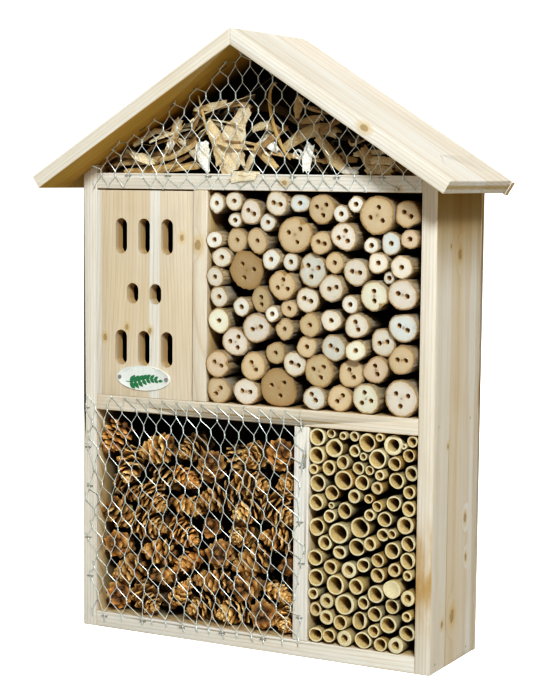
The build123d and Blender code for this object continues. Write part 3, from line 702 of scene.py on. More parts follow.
def boards():
    """Every board's wood. The numbers across a board are places in the model's frame."""
    x, y, z = (1, 0, 0), (0, 1, 0), (0, 0, 1)
    slant = (math.cos(ROOF_PITCH), 0, -math.sin(ROOF_PITCH))
    left_slant = (-math.cos(ROOF_PITCH), 0, -math.sin(ROOF_PITCH))
    left = board_wood("left_side_wood", z, y, (FRONT + 0.047,), (0.85, 0.5), 11, eave_shadowed=True)
    right_staves = (FRONT + 0.031, FRONT + 0.058, FRONT + 0.086)
    right_knots = (
        (SIDE_X, FRONT + 0.048, 0.343, 0.0035), (SIDE_X, FRONT + 0.029, 0.350, 0.0012),
        (SIDE_X, FRONT + 0.070, 0.120, 0.0028), (SIDE_X, FRONT + 0.073, 0.086, 0.0022),
        (SIDE_X, FRONT + 0.045, 0.041, 0.0045), (SIDE_X, FRONT + 0.024, 0.038, 0.0022),
        (SIDE_X, FRONT + 0.030, 0.186, 0.0016))
    right = board_wood("right_side_wood", z, y, right_staves, (0.55, 0.2, 0.75, 0.35), 23, right_knots,
                       seam=(FRONT + 0.0315, 0.195), stain=0.080, eave_shadowed=True)
    top_knots = ((0.031, FRONT, 0.400, 0.0022), (0.135, FRONT, 0.396, 0.0016))
    upper_knots = ((-0.052, FRONT, 0.346, 0.0034),)
    carcass = (
        ("left_side", left),
        ("right_side", right),
        ("bottom_board", board_wood("bottom_wood", x, y, (), (0.85,), 31)),
        ("middle_shelf", board_wood("middle_shelf_wood", x, y, (), (0.45,), 37)),
        ("top_shelf", board_wood("top_shelf_wood", x, y, (), (0.8,), 41, top_knots)),
        ("upper_divider", board_wood("upper_divider_wood", z, y, (), (0.3,), 43, upper_knots)),
        ("lower_divider", board_wood("lower_divider_wood", z, y, (), (0.95,), 47)),
    )
    for node, material in carcass:
        eased_board(node, material)
    back_knots = ((-0.08, BACK, 0.21, 0.006), (0.09, BACK, 0.37, 0.005))
    back = board_wood("back_wood", z, x, (-0.12, -0.04, 0.05, 0.13), (0.4, 0.7, 0.5, 0.8, 0.45), 53,
                      back_knots)
    eased_board("back_panel", back, 0.5 * MM)
    roof_staves = (ROOF_FRONT + 0.038, ROOF_FRONT + 0.075)
    left = board_wood("left_roof_wood", left_slant, y, roof_staves, (0.6, 0.8, 0.7), 61)
    eased_board("left_roof_board", left)
    roof_knots = ((0.1225, ROOF_FRONT, 0.4440, 0.0028),)
    right = board_wood("right_roof_wood", slant, y, roof_staves, (0.8, 1.0, 0.6), 67, roof_knots)
    eased_board("right_roof_board", right)
    front_knots = ((-0.068, FRONT, 0.352, 0.0022), (-0.147, FRONT, 0.262, 0.0022),
                   (-0.124, FRONT, 0.272, 0.002), (-0.100, FRONT, 0.270, 0.002))
    panel = board_wood("front_wood", z, x, (-0.1505, -0.1005, -0.0905), (1.0, 0.12, 1.0, 0.18), 71,
                       front_knots, shade_start=16 * MM)
    eased_board("butterfly_front", panel, 0.6 * MM, 4 * MM)


# ---------------------------------------------------------------- fill


LOG_TONES = {
    "w": (0.80, 0.75, 0.65), "c": (0.77, 0.69, 0.56), "t": (0.68, 0.53, 0.34), "b": (0.72, 0.71, 0.64),
    "p": (0.78, 0.69, 0.57), "g": (0.68, 0.64, 0.54), "y": (0.82, 0.77, 0.60), "n": (0.50, 0.355, 0.19),
    "q": (0.70, 0.55, 0.39), "a": (0.59, 0.46, 0.28),
}
# One letter for each log's end grain, from the top of the bay down
TONE_ORDER = "cbwcwttwptwwtpqbwtwgwcwctwcgcnwctcpyccawtwwcbcaytpcgptytacqqtatnpyptpg"
# Where side shoots broke away: each log's place in that order, and the angle of its notch
NOTCHES = {12: 1.0, 32: 1.35, 59: 0.1, 35: -0.9, 48: 2.4, 27: 2.9}
LOG_SIDES, HOLE_SIDES, CANE_SIDES = 60, 16, 36
DRILL_RADIUS = 2.25 * MM
HOLE_WIDTH = 5.2 * MM
HOLE_DEPTHS = (0.0, 1.0 * MM, 20 * MM, 55 * MM)
CHAMFER = 0.35 * MM
FACE_RECESS = 0.3 * MM


def logs():
    """Every drilled log, from the CAD logs' own places, radii and holes."""
    pick = random.Random(3)
    materials = [log_face(), log_bark(), bore_wood("log_bore", (0.86, 0.60, 0.30))]
    found = {name: islands(name) for name in layers("log_layer")}

    def height(island):
        return island[:, 2].max() + island[:, 2].min()

    heights = sorted((height(island) for group in found.values() for island in group), reverse=True)
    for name, group in found.items():
        soup = Soup()
        for island in group:
            order = heights.index(height(island))
            drilled_log(soup, island, pick, TONE_ORDER[order % len(TONE_ORDER)], NOTCHES.get(order))
        soup.piece(f"{name}_wood", materials, [name], "log_wood", 50)


def rim_shape(pick, lumps=4, size=0.035):
    """How far a stem's outline leaves the circle, as a function of the angle."""
    waves = [(count + 2, pick.gauss(0, size / (count + 1)), pick.uniform(0, math.tau))
             for count in range(lumps)]
    return lambda angle: 1 + sum(height * math.cos(count * angle + turn) for count, height, turn in waves)


def hole_centres(island, middle, radius):
    """Places of a log's drilled holes about its middle, from the CAD corners on its front face."""
    near = island[np.abs(island[:, 1] - island[:, 1].min()) < 1e-5]
    off = np.hypot(near[:, 0] - middle[0], near[:, 2] - middle[2])
    holes = []
    for x, _, z in near[off < radius * 0.95]:
        for hole in holes:
            if math.dist((x, z), hole[0]) < HOLE_WIDTH:
                hole.append((x, z))
                break
        else:
            holes.append([(x, z)])
    centres = [np.mean(hole, axis=0) for hole in holes]
    return [(x - middle[0], z - middle[2]) for x, z in centres]


def drilled_log(soup, island, pick, letter, notch):
    """A branch's sawn and drilled end, and its bark behind. notch is where a side shoot broke away."""
    low, high = island.min(0), island.max(0)
    middle, radius = (low + high) / 2, (high[0] - low[0]) / 2
    plain = rim_shape(pick, 5, 0.045)
    centres = hole_centres(island, middle, radius)
    shade = pick.uniform(0.93, 1.07)
    tone = tuple(min(0.95, value * shade) for value in LOG_TONES[letter])
    tilt = (pick.gauss(0, 0.06), pick.gauss(0, 0.06))
    fuzz = [pick.gauss(0, 0.2) * MM for _ in range(LOG_SIDES)]
    recess = low[1] + FACE_RECESS

    def outline(angle):
        if notch is None:
            return plain(angle)
        away = math.remainder(angle - notch, math.tau)
        return plain(angle) * (1 - 0.34 * math.exp(-(away / 0.24) ** 2))

    def rim(angle, shrink):
        r = radius * outline(angle) - shrink + fuzz[round(angle / math.tau * LOG_SIDES) % LOG_SIDES]
        return r * math.cos(angle), r * math.sin(angle)

    def clear(spot, share):
        return all(math.dist(spot, centre) > DRILL_RADIUS * share for centre in centres)

    def face_y(x, z, rough=0.0):
        return recess + tilt[0] * x + tilt[1] * z + abs(tilt[0]) * radius + abs(tilt[1]) * radius + rough

    # The sawn face, with its holes
    flat = [rim(math.tau * step / LOG_SIDES, CHAMFER) for step in range(LOG_SIDES)]
    loops = [list(range(LOG_SIDES))]
    for x, z in centres:
        ragged = rim_shape(pick, 4, 0.05)
        loops.append(list(range(len(flat), len(flat) + HOLE_SIDES)))
        for step in range(HOLE_SIDES):
            angle = -math.tau * step / HOLE_SIDES
            r = DRILL_RADIUS * ragged(angle)
            flat.append((x + r * math.cos(angle), z + r * math.sin(angle)))
    edges = [(loop[i], loop[(i + 1) % len(loop)]) for loop in loops for i in range(len(loop))]
    extra = []
    for _ in range(60):
        angle, r = pick.uniform(0, math.tau), radius * math.sqrt(pick.random()) * 0.88
        spot = (r * math.cos(angle), r * math.sin(angle))
        if clear(spot, 1.35):
            extra.append(spot)
    spots, _, cut, _, _, _ = delaunay_2d_cdt([Vector(point) for point in flat + extra], edges, [], 0, 1e-7)
    faces = []
    for face in cut:
        if clear(sum((spots[i] for i in face), Vector((0, 0))) / len(face), 0.9):
            first, second, third = (Vector(spots[i]) for i in face[:3])
            outward = (second - first).cross(third - first) > 0
            faces.append(tuple(face) if outward else tuple(reversed(face)))
    points = [(middle[0] + x, face_y(x, z, pick.gauss(0, 0.06 * MM)), middle[2] + z) for x, z in spots]
    local = [(x, math.hypot(x, z) / (radius * outline(math.atan2(z, x))), z) for x, z in spots]
    soup.add(points, faces, 0, local, tone)
    # The chamfer and the bark side: (depth, how much smaller, whether it follows the sawn face)
    rings = [(0.0, CHAMFER, True), (0.3 * MM, 0.1 * MM, True), (0.5 * MM, -0.25 * MM, True)]
    depth = high[1] - recess - 1 * MM
    rings += [(depth * step / 10, 0.0, False) for step in range(1, 11)]
    points, local = [], []
    for along, shrink, sawn in rings:
        for step in range(LOG_SIDES):
            if not sawn:
                shrink = pick.uniform(-0.35, 0.5) * MM
            ragged = pick.uniform(-0.3, 0.1) * MM if sawn and along > 0.4 * MM else 0.0
            x, z = rim(math.tau * step / LOG_SIDES, shrink + ragged)
            y = face_y(x, z) + along if sawn else recess + along + 0.6 * MM
            points.append((middle[0] + x, y, middle[2] + z))
            local.append((x, 1.0 if sawn and along < 0.4 * MM else along, z))
    faces = sleeve(len(rings), LOG_SIDES)
    faces.append(tuple(range((len(rings) - 1) * LOG_SIDES, len(rings) * LOG_SIDES)))
    soup.add(points, faces, [0] * LOG_SIDES + [1] * (len(faces) - LOG_SIDES), local, tone)
    # The drilled holes
    last = HOLE_SIDES * (len(HOLE_DEPTHS) - 1)
    for ring in loops[1:]:
        places = [(*spots[i], along) for along in HOLE_DEPTHS for i in ring]
        points = [(middle[0] + x, face_y(x, z) + along, middle[2] + z) for x, z, along in places]
        faces = sleeve(len(HOLE_DEPTHS), HOLE_SIDES)
        faces.append(tuple(reversed(range(last, last + HOLE_SIDES))))
        soup.add(points, faces, 2, [(x, along, z) for x, z, along in places], tone)


def canes():
    """Every bamboo cane, from the CAD canes' own places, radii and bores."""
    pick = random.Random(6)
    materials = [cane_rim(), cane_skin(), bore_wood("cane_bore", (0.84, 0.62, 0.28))]
    for name in layers("bamboo_layer"):
        soup = Soup()
        for island in islands(name):
            cane(soup, island, pick)
        soup.piece(f"{name}_cane", materials, [name], "bamboo_cane", 50)


CANE_FRESH = (0.80, 0.72, 0.50)
STRAWS = ((0.64, 0.50, 0.25), (0.52, 0.34, 0.12), (0.66, 0.55, 0.32), (0.58, 0.42, 0.18), (0.60, 0.49, 0.27))


def cane(soup, island, pick):
    """A cane's wall, its sawn rim, and its bore, or a closed end where the CAD cane is solid."""
    low, high = island.min(0), island.max(0)
    middle, radius = (low + high) / 2, (high[0] - low[0]) / 2
    front, back = low[1], high[1]
    off = np.hypot(island[:, 0] - middle[0], island[:, 2] - middle[2])
    bore = off[off < radius * 0.97].max() if (off < radius * 0.97).any() else 0.0
    outline, inner = rim_shape(pick, 3, 0.025), rim_shape(pick, 3, 0.05)
    shade = pick.uniform(0.82, 1.06)
    straw = tuple(value * shade for value in pick.choice(STRAWS))
    rim_tone = tuple(min(1, 0.45 * value + 0.55 * fresh) for value, fresh in zip(straw, CANE_FRESH))
    tilt = (pick.gauss(0, 0.06), pick.gauss(0, 0.06))
    joint = pick.uniform(0.012, 0.06)

    def skin(rings, slot, tone, capped=False):
        """Rings of (radius, outline, depth, how much of the cut's tilt each one keeps)."""
        points, local = [], []
        for r, shape, along, tilted in rings:
            for step in range(CANE_SIDES):
                angle = math.tau * step / CANE_SIDES
                x, z = r * shape(angle) * math.cos(angle), r * shape(angle) * math.sin(angle)
                lean = tilted * (tilt[0] * x + tilt[1] * z + (abs(tilt[0]) + abs(tilt[1])) * radius)
                points.append((middle[0] + x, front + along + lean, middle[2] + z))
                local.append((x, along, z))
        faces = sleeve(len(rings), CANE_SIDES)
        if capped:
            faces.append(tuple(range(CANE_SIDES)))
        soup.add(points, faces, slot, local, tone)

    outer = radius * 0.97
    depth = back - front - 1 * MM
    wall = [(outer, outline, 0.35 * MM, 1.0)]
    for step in range(1, 12):
        along = depth * step / 11
        swell = 1 + 0.035 * math.exp(-((along - joint) / (1.6 * MM)) ** 2)
        wall.append((outer * min(swell, 1.03), outline, along, max(0.0, 1 - step / 3)))
    skin(wall, 1, straw)
    sawn_edge = (outer - 0.3 * MM, outline, 0.03 * MM if bore else 0.0, 1.0)
    if bore:
        hole = min(bore * 1.13, radius * 0.78)
        lip = (hole, inner, 0.15 * MM, 1.0)
        skin([lip, ((hole + outer) / 2, outline, 0.0, 1.0), sawn_edge, wall[0]], 0, rim_tone)
        inside = [lip, (hole * 0.96, inner, 2 * MM, 1.0), (hole * 0.95, inner, 25 * MM, 0.0),
                  (hole * 0.9, inner, 60 * MM, 0.0)]
        skin(inside[::-1], 2, tuple(min(1, value * 1.1) for value in straw), True)
    else:
        end = [(0.05 * MM, 0.9 * MM), (outer * 0.3, 0.75 * MM), (outer * 0.62, 0.5 * MM),
               (outer * 0.75, 0.05 * MM)]
        skin([(r, outline, along, 1.0) for r, along in end] + [sawn_edge, wall[0]], 0, rim_tone)


def axis_of(island):
    """Middle of a cone, the direction of its narrow end, and half its length."""
    middle = island.mean(0)
    _, _, turned = np.linalg.svd(island - middle, full_matrices=False)
    axis = turned[0]
    along = (island - middle) @ axis
    wide = np.linalg.norm(island - middle - along[:, None] * axis, axis=1)
    if along[wide > wide.max() * 0.9].mean() > (along.max() + along.min()) / 2:
        axis, along = -axis, -along
    return middle + axis * (along.max() + along.min()) / 2, axis, (along.max() - along.min()) / 2


def frame_about(axis):
    """Two directions square to an axis and to each other."""
    side = np.cross(axis, (0.31, 0.42, 0.85))
    side /= np.linalg.norm(side)
    return side, np.cross(axis, side)


def scale_blade(length, width, bend, cup, steps, across, pick):
    """One woody scale: (out, side, up) places, faces, and how far along each place lies."""
    ragged = [pick.uniform(0.93, 1.05) for _ in range(across + 1)]
    places, along = [], []
    for face in (1, -1):
        for row in range(steps + 1):
            u = row / steps
            swell = 0.36 + 0.64 * min(1, u / 0.6) ** 0.8
            close = math.sqrt(max(0.0, 1 - max(0.0, (u - 0.55) / 0.47) ** 2.4))
            thick = (0.30 + 0.85 * min(1, u / 0.8) ** 2) * MM * (1 if row < steps else 0.55)
            for column in range(across + 1):
                w = 2 * column / across - 1
                half = width / 2 * swell * close
                reach = length * u * (ragged[column] if row >= steps - 1 else 1) * (1 - 0.10 * w * w * u)
                rise = bend * u * u - cup * w * w * (0.4 + 0.6 * u) + face * thick * (1 - 0.6 * w * w)
                places.append((reach, w * half, rise))
                along.append(u)
    stride = across + 1
    sheet = stride * (steps + 1)
    faces = []
    for row in range(steps):
        for column in range(across):
            a = row * stride + column
            faces.append((a, a + 1, a + stride + 1, a + stride))
            faces.append((sheet + a, sheet + a + stride, sheet + a + stride + 1, sheet + a + 1))
        near, far = row * stride, (row + 1) * stride
        for a, b in ((near, far), (far + across, near + across)):
            faces.append((a, b, sheet + b, sheet + a))
    tip = steps * stride
    for column in range(across):
        faces.append((tip + column, tip + column + 1, sheet + tip + column + 1, sheet + tip + column))
    return np.array(places), faces, along


GOLDEN_ANGLE = math.radians(137.508)
CONE_TINTS = ((1.0, 1.0, 1.0), (1.2, 1.2, 1.15), (0.88, 0.88, 0.86), (1.3, 1.38, 1.45), (1.12, 1.02, 0.88))


def cone(soup, island, pick, low, high):
    """A pine cone of overlapping scales in a spiral on a tapered core."""
    middle, axis, half = axis_of(island)
    side, other = frame_about(axis)
    tint = pick.choice(CONE_TINTS)
    open_cone = pick.random() > 0.16
    spread = pick.uniform(0.85, 1.12) if open_cone else 0.42
    front = middle[1] < low[1] + 30 * MM
    count, steps, across = (48, 5, 4) if front else (42, 3, 2)
    reach = 14.2 * MM * pick.uniform(0.92, 1.08) * (1.0 if open_cone else 0.86)
    turn = pick.uniform(0, math.tau)
    for index in range(count):
        f = index / (count - 1)
        angle = turn + index * GOLDEN_ANGLE
        radial = math.cos(angle) * side + math.sin(angle) * other
        tangent = np.cross(axis, radial)
        lean = max(0.16, math.radians(104 - 82 * f ** 1.1) * spread + pick.gauss(0, 0.10))
        full = reach * (0.72 + 0.28 * min(1, f / 0.15)) * (1 - 0.62 * max(0.0, f - 0.45) / 0.55)
        length = full - 2.0 * MM if open_cone else full * 0.95
        width = full * 0.86 * pick.uniform(0.85, 1.12)
        ahead = math.cos(lean) * axis + math.sin(lean) * radial
        outward = math.cos(lean) * radial - math.sin(lean) * axis
        root = middle + axis * (half * (-0.86 + 1.62 * f ** 0.92)) + radial * (1.6 * MM * (1 - 0.5 * f))
        bend, cup = pick.uniform(-1.8, 0.9) * MM, pick.uniform(0.8, 1.9) * MM
        places, faces, along = scale_blade(length, width, bend, cup, steps, across, pick)
        points = root + places[:, :1] * ahead + places[:, 1:2] * tangent + places[:, 2:] * outward
        points = np.clip(points, low, high)
        chance = pick.random()
        local = [(u, place[1], chance) for u, place in zip(along, places)]
        shade = pick.uniform(0.85, 1.12)
        soup.add(points.tolist(), faces, 0, local, tuple(value * shade for value in tint))
    rings = ((-0.98, 0.6), (-0.96, 2.2), (-0.86, 3.0), (-0.6, 3.6), (0.0, 3.4), (0.6, 2.2), (0.98, 0.7))
    path = [middle + axis * half * along for along, _ in rings]
    points, faces = tube(path, [r * MM for _, r in rings], 10)
    points = np.clip(np.array(points), low, high)
    local = [(0.55 if ring < 3 else 0.05, 0.0, 0.8) for ring in range(len(rings)) for _ in range(10)]
    soup.add(points.tolist(), faces, 0, local, (1.3, 1.35, 1.4))


def cones():
    """Every cone, from the CAD cones' own places and axes, kept clear of the boards around them."""
    pick = random.Random(8)
    low = np.array((-INNER + 0.4 * MM, FRONT + 0.9 * MM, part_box("bottom_board")[1].z + 0.3 * MM))
    high = np.array((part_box("lower_divider")[0].x - 0.4 * MM, REAR - 0.4 * MM, MIDDLE_BOTTOM - 0.4 * MM))
    material = cone_scale()
    for name in layers("cone_layer"):
        soup = Soup()
        for island in islands(name):
            cone(soup, island, pick, low, high)
        soup.piece(f"{name}_scales", [material], [name], "pine_cone", 45)


# ---------------------------------------------------------------- wire netting


WIRE_R = 0.39 * MM
BAR = 5.6 * MM
TWISTS = 2
OVER_WOOD = 0.95 * MM


def smooth_noise(pick, size, reach):
    """A gentle random field over X and Z."""
    waves = [
        (pick.gauss(0, 1) / reach, pick.gauss(0, 1) / reach, pick.uniform(0, math.tau),
         pick.gauss(0, size * 0.6))
        for _ in range(6)
    ]
    return lambda x, z: sum(h * math.sin(a * x + b * z + turn) for a, b, turn, h in waves)


def net_paths(columns, rows, place):
    """Each wire's points. Wires zigzag from bar to bar and twist in pairs along every bar."""
    swing, steps = WIRE_R * 0.98, 6 * TWISTS
    paths = []
    for column in columns:
        for hand in (1, -1):
            path = []
            for row in rows:
                odd = row % 2
                start = math.pi if (hand > 0) == bool(odd) else 0
                for step in range(steps + 1):
                    t = step / steps
                    angle = TWISTS * math.tau * t + start
                    path.append(place(column + 0.5 * odd * hand, row, (t - 0.5) * BAR,
                                      swing * math.cos(angle), swing * math.sin(angle)))
            paths.append(path)
    return paths


def clipped(path, inside, pick):
    """The stretches of a wire inside the net's edge, each cut end nipped and bent."""
    runs, run = [], []
    for point, flat in path:
        if inside(*flat):
            run.append(point)
        else:
            runs.append(run)
            run = []
    runs.append(run)
    made = []
    for run in runs:
        if len(run) < 4:
            continue
        for end in (0, -1):
            near, tip = (run[1], run[0]) if end == 0 else (run[-2], run[-1])
            ahead = np.array(tip) - np.array(near)
            ahead /= np.linalg.norm(ahead) + 1e-9
            hook = np.array(tip) + ahead * pick.uniform(0.4, 1.6) * MM
            hook += np.array((pick.gauss(0, 0.5), -abs(pick.gauss(0, 0.5)), pick.gauss(0, 0.5))) * MM
            if end == 0:
                run.insert(0, tuple(hook))
            else:
                run.append(tuple(hook))
        made.append(run)
    return made


def pulled_to(staples, bars):
    """Moves the net so that a bar passes through each staple."""
    pulls = []
    for place in staples:
        near = min(bars, key=lambda bar: math.dist(bar, place))
        pulls.append((near, (place[0] - near[0], place[1] - near[1])))

    def pull(x, z):
        dx = dz = 0.0
        for (cx, cz), (mx, mz) in pulls:
            weight = math.exp(-((x - cx) ** 2 + (z - cz) ** 2) / (2 * (10 * MM) ** 2))
            dx += weight * mx
            dz += weight * mz
        return dx, dz

    return pull


def staple_centres(node):
    """The X and Z of each staple in a CAD node."""
    return [((island[:, 0].min() + island[:, 0].max()) / 2, (island[:, 2].min() + island[:, 2].max()) / 2)
            for island in islands(node)]


def wire():
    """Dull galvanised wire with small rust spots."""
    shader = Shader("galvanised_wire", 0.42, 0.5)
    shader.surface.inputs["Metallic"].default_value = 0.55
    spots = shader.noise(shader.place(), 700.0, 3.0, 0.6)
    colour = shader.mix(shader.range(spots, 0.35, 0.65), (0.60, 0.61, 0.53), (0.84, 0.86, 0.79))
    colour = shader.mix(shader.range(spots, 0.62, 0.8, 0.0, 0.6), colour, (0.33, 0.29, 0.22))
    shader.bump(spots, 0.08 * MM, 0.4)
    return shader.finish(colour)


def net(pitch, row_pitch, start, lean, spread, columns, rows, inside, fold, staples, seed):
    """One hexagonal net. start is the first bar's X and Z; spread widens the pitch downwards."""
    pick = random.Random(seed)
    sway_x, sway_z, bulge = (smooth_noise(pick, size * MM, 25 * MM) for size in (0.45, 0.4, 0.35))
    jitter = {}

    def flat(column, row):
        z = start[1] + row * row_pitch
        x = start[0] + column * pitch * (1 + spread * (start[1] - z)) - lean * (z - start[1])
        return x, z

    bars = [flat(column + 0.5 * (row % 2), row) for column in columns for row in rows]
    pull = pulled_to(staples, bars)

    def place(column, row, along, swing_x, swing_y):
        x, z = flat(column, row)
        if (column, row) not in jitter:
            jitter[column, row] = (pick.gauss(0, 0.35) * MM, pick.gauss(0, 0.35) * MM, pick.gauss(0, 0.05))
        moved = jitter[column, row]
        dx, dz = pull(x, z)
        x += moved[0] + dx + sway_x(x, z) + along * (moved[2] - lean * 0.35)
        z += moved[1] + dz + sway_z(x, z) + along
        return fold(x + swing_x, z, swing_y + bulge(x, z)), (x, z)

    soup = Soup()
    for path in net_paths(columns, rows, place):
        for run in clipped(path, inside, pick):
            points, faces = tube(run, WIRE_R, 5)
            soup.add([tuple(point) for point in points], faces)
    return soup


def laid(x, z, lift, forward):
    """A wire's place before the open front, held close to it."""
    return (x, FRONT - lift + max(-2 * MM, min(0.35 * MM, forward)), z)


def nets():
    """The net over the cone bay and the one over the attic, which folds back under the roof."""
    material = wire()
    cone_staples = staple_centres("cone_bay_net_staples")
    low_x, high_x = -INNER - 11.5 * MM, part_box("lower_divider")[1].x - 2.5 * MM

    def flat_fold(x, z, forward):
        over_wood = (x < -INNER + 2 * MM or x > high_x - 13 * MM or z > MIDDLE_BOTTOM - 2 * MM
                     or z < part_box("bottom_board")[1].z + 2 * MM)
        return laid(x, z, OVER_WOOD if over_wood else 0.7 * MM, forward)

    def in_bay(x, z):
        return low_x < x < high_x and 5.5 * MM < z < MIDDLE_TOP - 1.5 * MM

    soup = net(13.4 * MM, 13.2 * MM, (-0.1403, 0.2115), 0.25, 0.55,
               range(-8, 24), range(-16, 2), in_bay, flat_fold, cone_staples, 5)
    soup.piece("cone_bay_net_wires", [material], ["cone_bay_net"], "net_wire", 60)

    pick = random.Random(17)
    normal = (math.sin(ROOF_PITCH), math.cos(ROOF_PITCH))
    hem = 13 * MM

    def over(x, z):
        return (z - underside(x)) * math.cos(ROOF_PITCH)

    def roof_fold(x, z, forward):
        past = over(x, z) + 1.3 * MM
        if past <= 0:
            return laid(x, z, OVER_WOOD if z < SHELF_TOP + 2 * MM else 0.8 * MM, forward)
        side = 1 if x > 0 else -1
        sag = max(-0.5 * MM, min(1.5 * MM, abs(forward) + 0.3 * MM))
        near = (x - side * normal[0] * (past + sag), z - normal[1] * (past + sag))
        return (near[0], FRONT - 0.8 * MM - past, near[1])

    edge = smooth_noise(pick, 2.2 * MM, 12 * MM)

    def in_attic(x, z):
        within_hem = over(x, z) < hem - 4 * MM + edge(x, z)
        return z > SHELF_BOTTOM + 1.8 * MM and within_hem and abs(x) < INNER + 8 * MM

    soup = net(14.65 * MM, 13.2 * MM, (-0.157, SHELF_BOTTOM + 0.6 * MM), 0.06, 0.0,
               range(-2, 26), range(0, 11), in_attic, roof_fold, staple_centres("attic_net_staples"), 9)
    # Small staples hold the folded edge to the underside of the roof
    for side in (-1, 1):
        for index in range(5):
            x = side * (0.022 + 0.027 * index + pick.uniform(-0.003, 0.003))
            y = FRONT - pick.uniform(4, 8) * MM
            turn = pick.uniform(-0.6, 0.6)
            crown = []
            for step, rise in ((-1, 0.4), (-1, 1.4), (0, 1.6), (1, 1.4), (1, 0.4)):
                along = step * 2.4 * MM
                at_x = x + along * math.cos(turn) * math.cos(ROOF_PITCH)
                drop = rise * MM
                crown.append((at_x - side * normal[0] * drop, y + along * math.sin(turn),
                              underside(at_x) - normal[1] * drop))
            points, faces = tube(crown, 0.4 * MM, 6)
            soup.add([tuple(point) for point in points], faces, 1)
    soup.piece("attic_net_wires", [material, metal("roof_staple_steel", (0.20, 0.17, 0.14), 0.5)],
               ["attic_net"], "net_wire", 60)


# ---------------------------------------------------------------- wood curls


CURL_TONES = ((0.62, 0.45, 0.24), (0.50, 0.34, 0.17), (0.72, 0.57, 0.34), (0.40, 0.26, 0.12),
              (0.80, 0.68, 0.46))
FRESH = (0.88, 0.78, 0.58)
WHITE = (0.93, 0.90, 0.82)


def ribbon(soup, path, widths, facing, tone, pick, thickness=0.9 * MM, cup=0.25, spin=0.0):
    """A strip of wood along a path, as wide as widths says, its flat side towards facing."""
    path = np.array(path, float)
    count = len(path)
    widths = np.interp(np.linspace(0, 1, count), np.linspace(0, 1, len(widths)), widths)
    ahead = np.gradient(path, axis=0)
    ahead /= np.linalg.norm(ahead, axis=1)[:, None] + 1e-12
    across = 6
    points, local = [], []
    chance = pick.random()
    run = np.concatenate(([0], np.cumsum(np.linalg.norm(np.diff(path, axis=0), axis=1))))
    ragged = [[pick.gauss(0, 0.06) for _ in range(across + 1)] for _ in range(2)]
    for index in range(count):
        side = np.cross(ahead[index], facing)
        side /= np.linalg.norm(side) + 1e-12
        up = np.cross(side, ahead[index])
        turn = spin * index / count
        side, up = side * math.cos(turn) + up * math.sin(turn), up * math.cos(turn) - side * math.sin(turn)
        wobble = 1 + pick.gauss(0, 0.05)
        for face in (1, -1):
            for column in range(across + 1):
                w = 2 * column / across - 1
                end = 0.0
                if index in (0, count - 1):
                    end = ragged[0 if index == 0 else 1][column] * widths[index] * (1 if index else -1) * 2.5
                place = (path[index] + side * w * widths[index] / 2 * wobble
                         + up * (-cup * w * w * widths[index] / 2 + face * thickness / 2 * (1 - 0.5 * w * w))
                         + ahead[index] * end)
                points.append(tuple(place))
                local.append((run[index] / MM / 30, w * widths[index] / 2, chance))
    stride = across + 1
    faces = []
    for ring in range(count - 1):
        top, low = ring * 2 * stride, ring * 2 * stride + stride
        step = 2 * stride
        for column in range(across):
            faces.append((top + column, top + column + 1, top + step + column + 1, top + step + column))
            faces.append((low + column, low + step + column, low + step + column + 1, low + column + 1))
        faces.append((top, top + step, low + step, low))
        faces.append((top + across, low + across, low + step + across, top + step + across))
    last = (count - 1) * 2 * stride
    for first, flip in ((0, False), (last, True)):
        for column in range(across):
            face = (first + column, first + stride + column, first + stride + column + 1, first + column + 1)
            faces.append(tuple(reversed(face)) if flip else face)
    soup.add(points, faces, 0, local, tone)


def bent(points, count=14):
    """A smooth line through a few points."""
    points = np.array(points, float) * MM
    t = np.linspace(0, 1, len(points))
    wanted = np.linspace(0, 1, count)
    if len(points) < 3:
        return np.array([np.interp(wanted, t, points[:, axis]) for axis in range(3)]).T
    degree = min(3, len(points) - 1)
    return np.array([np.polyval(np.polyfit(t, points[:, axis], degree), wanted) for axis in range(3)]).T


def strand(pick, centre, length, width, turn, tilt, tone, soup, thickness):
    """A loose strip at a slant, kept under the roof and above the shelf."""
    ahead = np.array((math.cos(turn) * math.cos(tilt), math.sin(turn) * math.cos(tilt), math.sin(tilt)))
    bow = np.array((pick.gauss(0, 0.3), pick.gauss(0, 0.5), pick.gauss(0.2, 0.6)))
    path = []
    for step in range(12):
        t = step / 11 - 0.5
        place = centre + ahead * length * t + bow * length * 0.35 * (0.25 - t * t)
        path.append(inside_attic(place, width * 0.4))
    facing = np.array((pick.gauss(0, 0.6), -1.0, pick.gauss(0.4, 0.6)))
    widths = [width * pick.uniform(0.3, 0.9), width]
    widths += [width * pick.uniform(0.7, 1.1), width * pick.uniform(0.2, 0.9)]
    ribbon(soup, path, widths, facing, tone, pick, thickness, 0.25, pick.gauss(0, 0.7))


def inside_attic(place, margin):
    """The nearest place to this one that a strip can have inside the attic."""
    x = max(-INNER + 2 * MM, min(INNER - 2 * MM, place[0]))
    y = max(FRONT + margin * 0.3 + 1.2 * MM, min(REAR - margin - 1 * MM, place[1]))
    top = underside(x) - margin - 3 * MM
    return (x, y, max(SHELF_TOP + margin * 0.5 + 0.8 * MM, min(top, place[2])))


def heap_top(x):
    """The heap's rough height over the shelf at x."""
    return min(58 * MM, (underside(x) - SHELF_TOP) * 0.8)


def curl(soup, pick, centre, radius, width, turns, tone, tilt):
    """A tight shaving rolled up on itself."""
    path = []
    for step in range(18):
        angle = tilt + turns * math.tau * step / 17
        r = radius * (0.45 + 0.55 * step / 17)
        x, z = centre[0] + r * math.cos(angle), centre[2] + r * math.sin(angle)
        path.append(inside_attic((x, centre[1] + 2 * MM * step / 17, z), 0.5 * MM))
    facing = np.cross((0.25, 1.0, 0.1), (0.2, 0.1, 1.0))
    ribbon(soup, path, [width * 0.5, width, width * 0.7], facing, tone, pick, 0.6 * MM, 0.1)


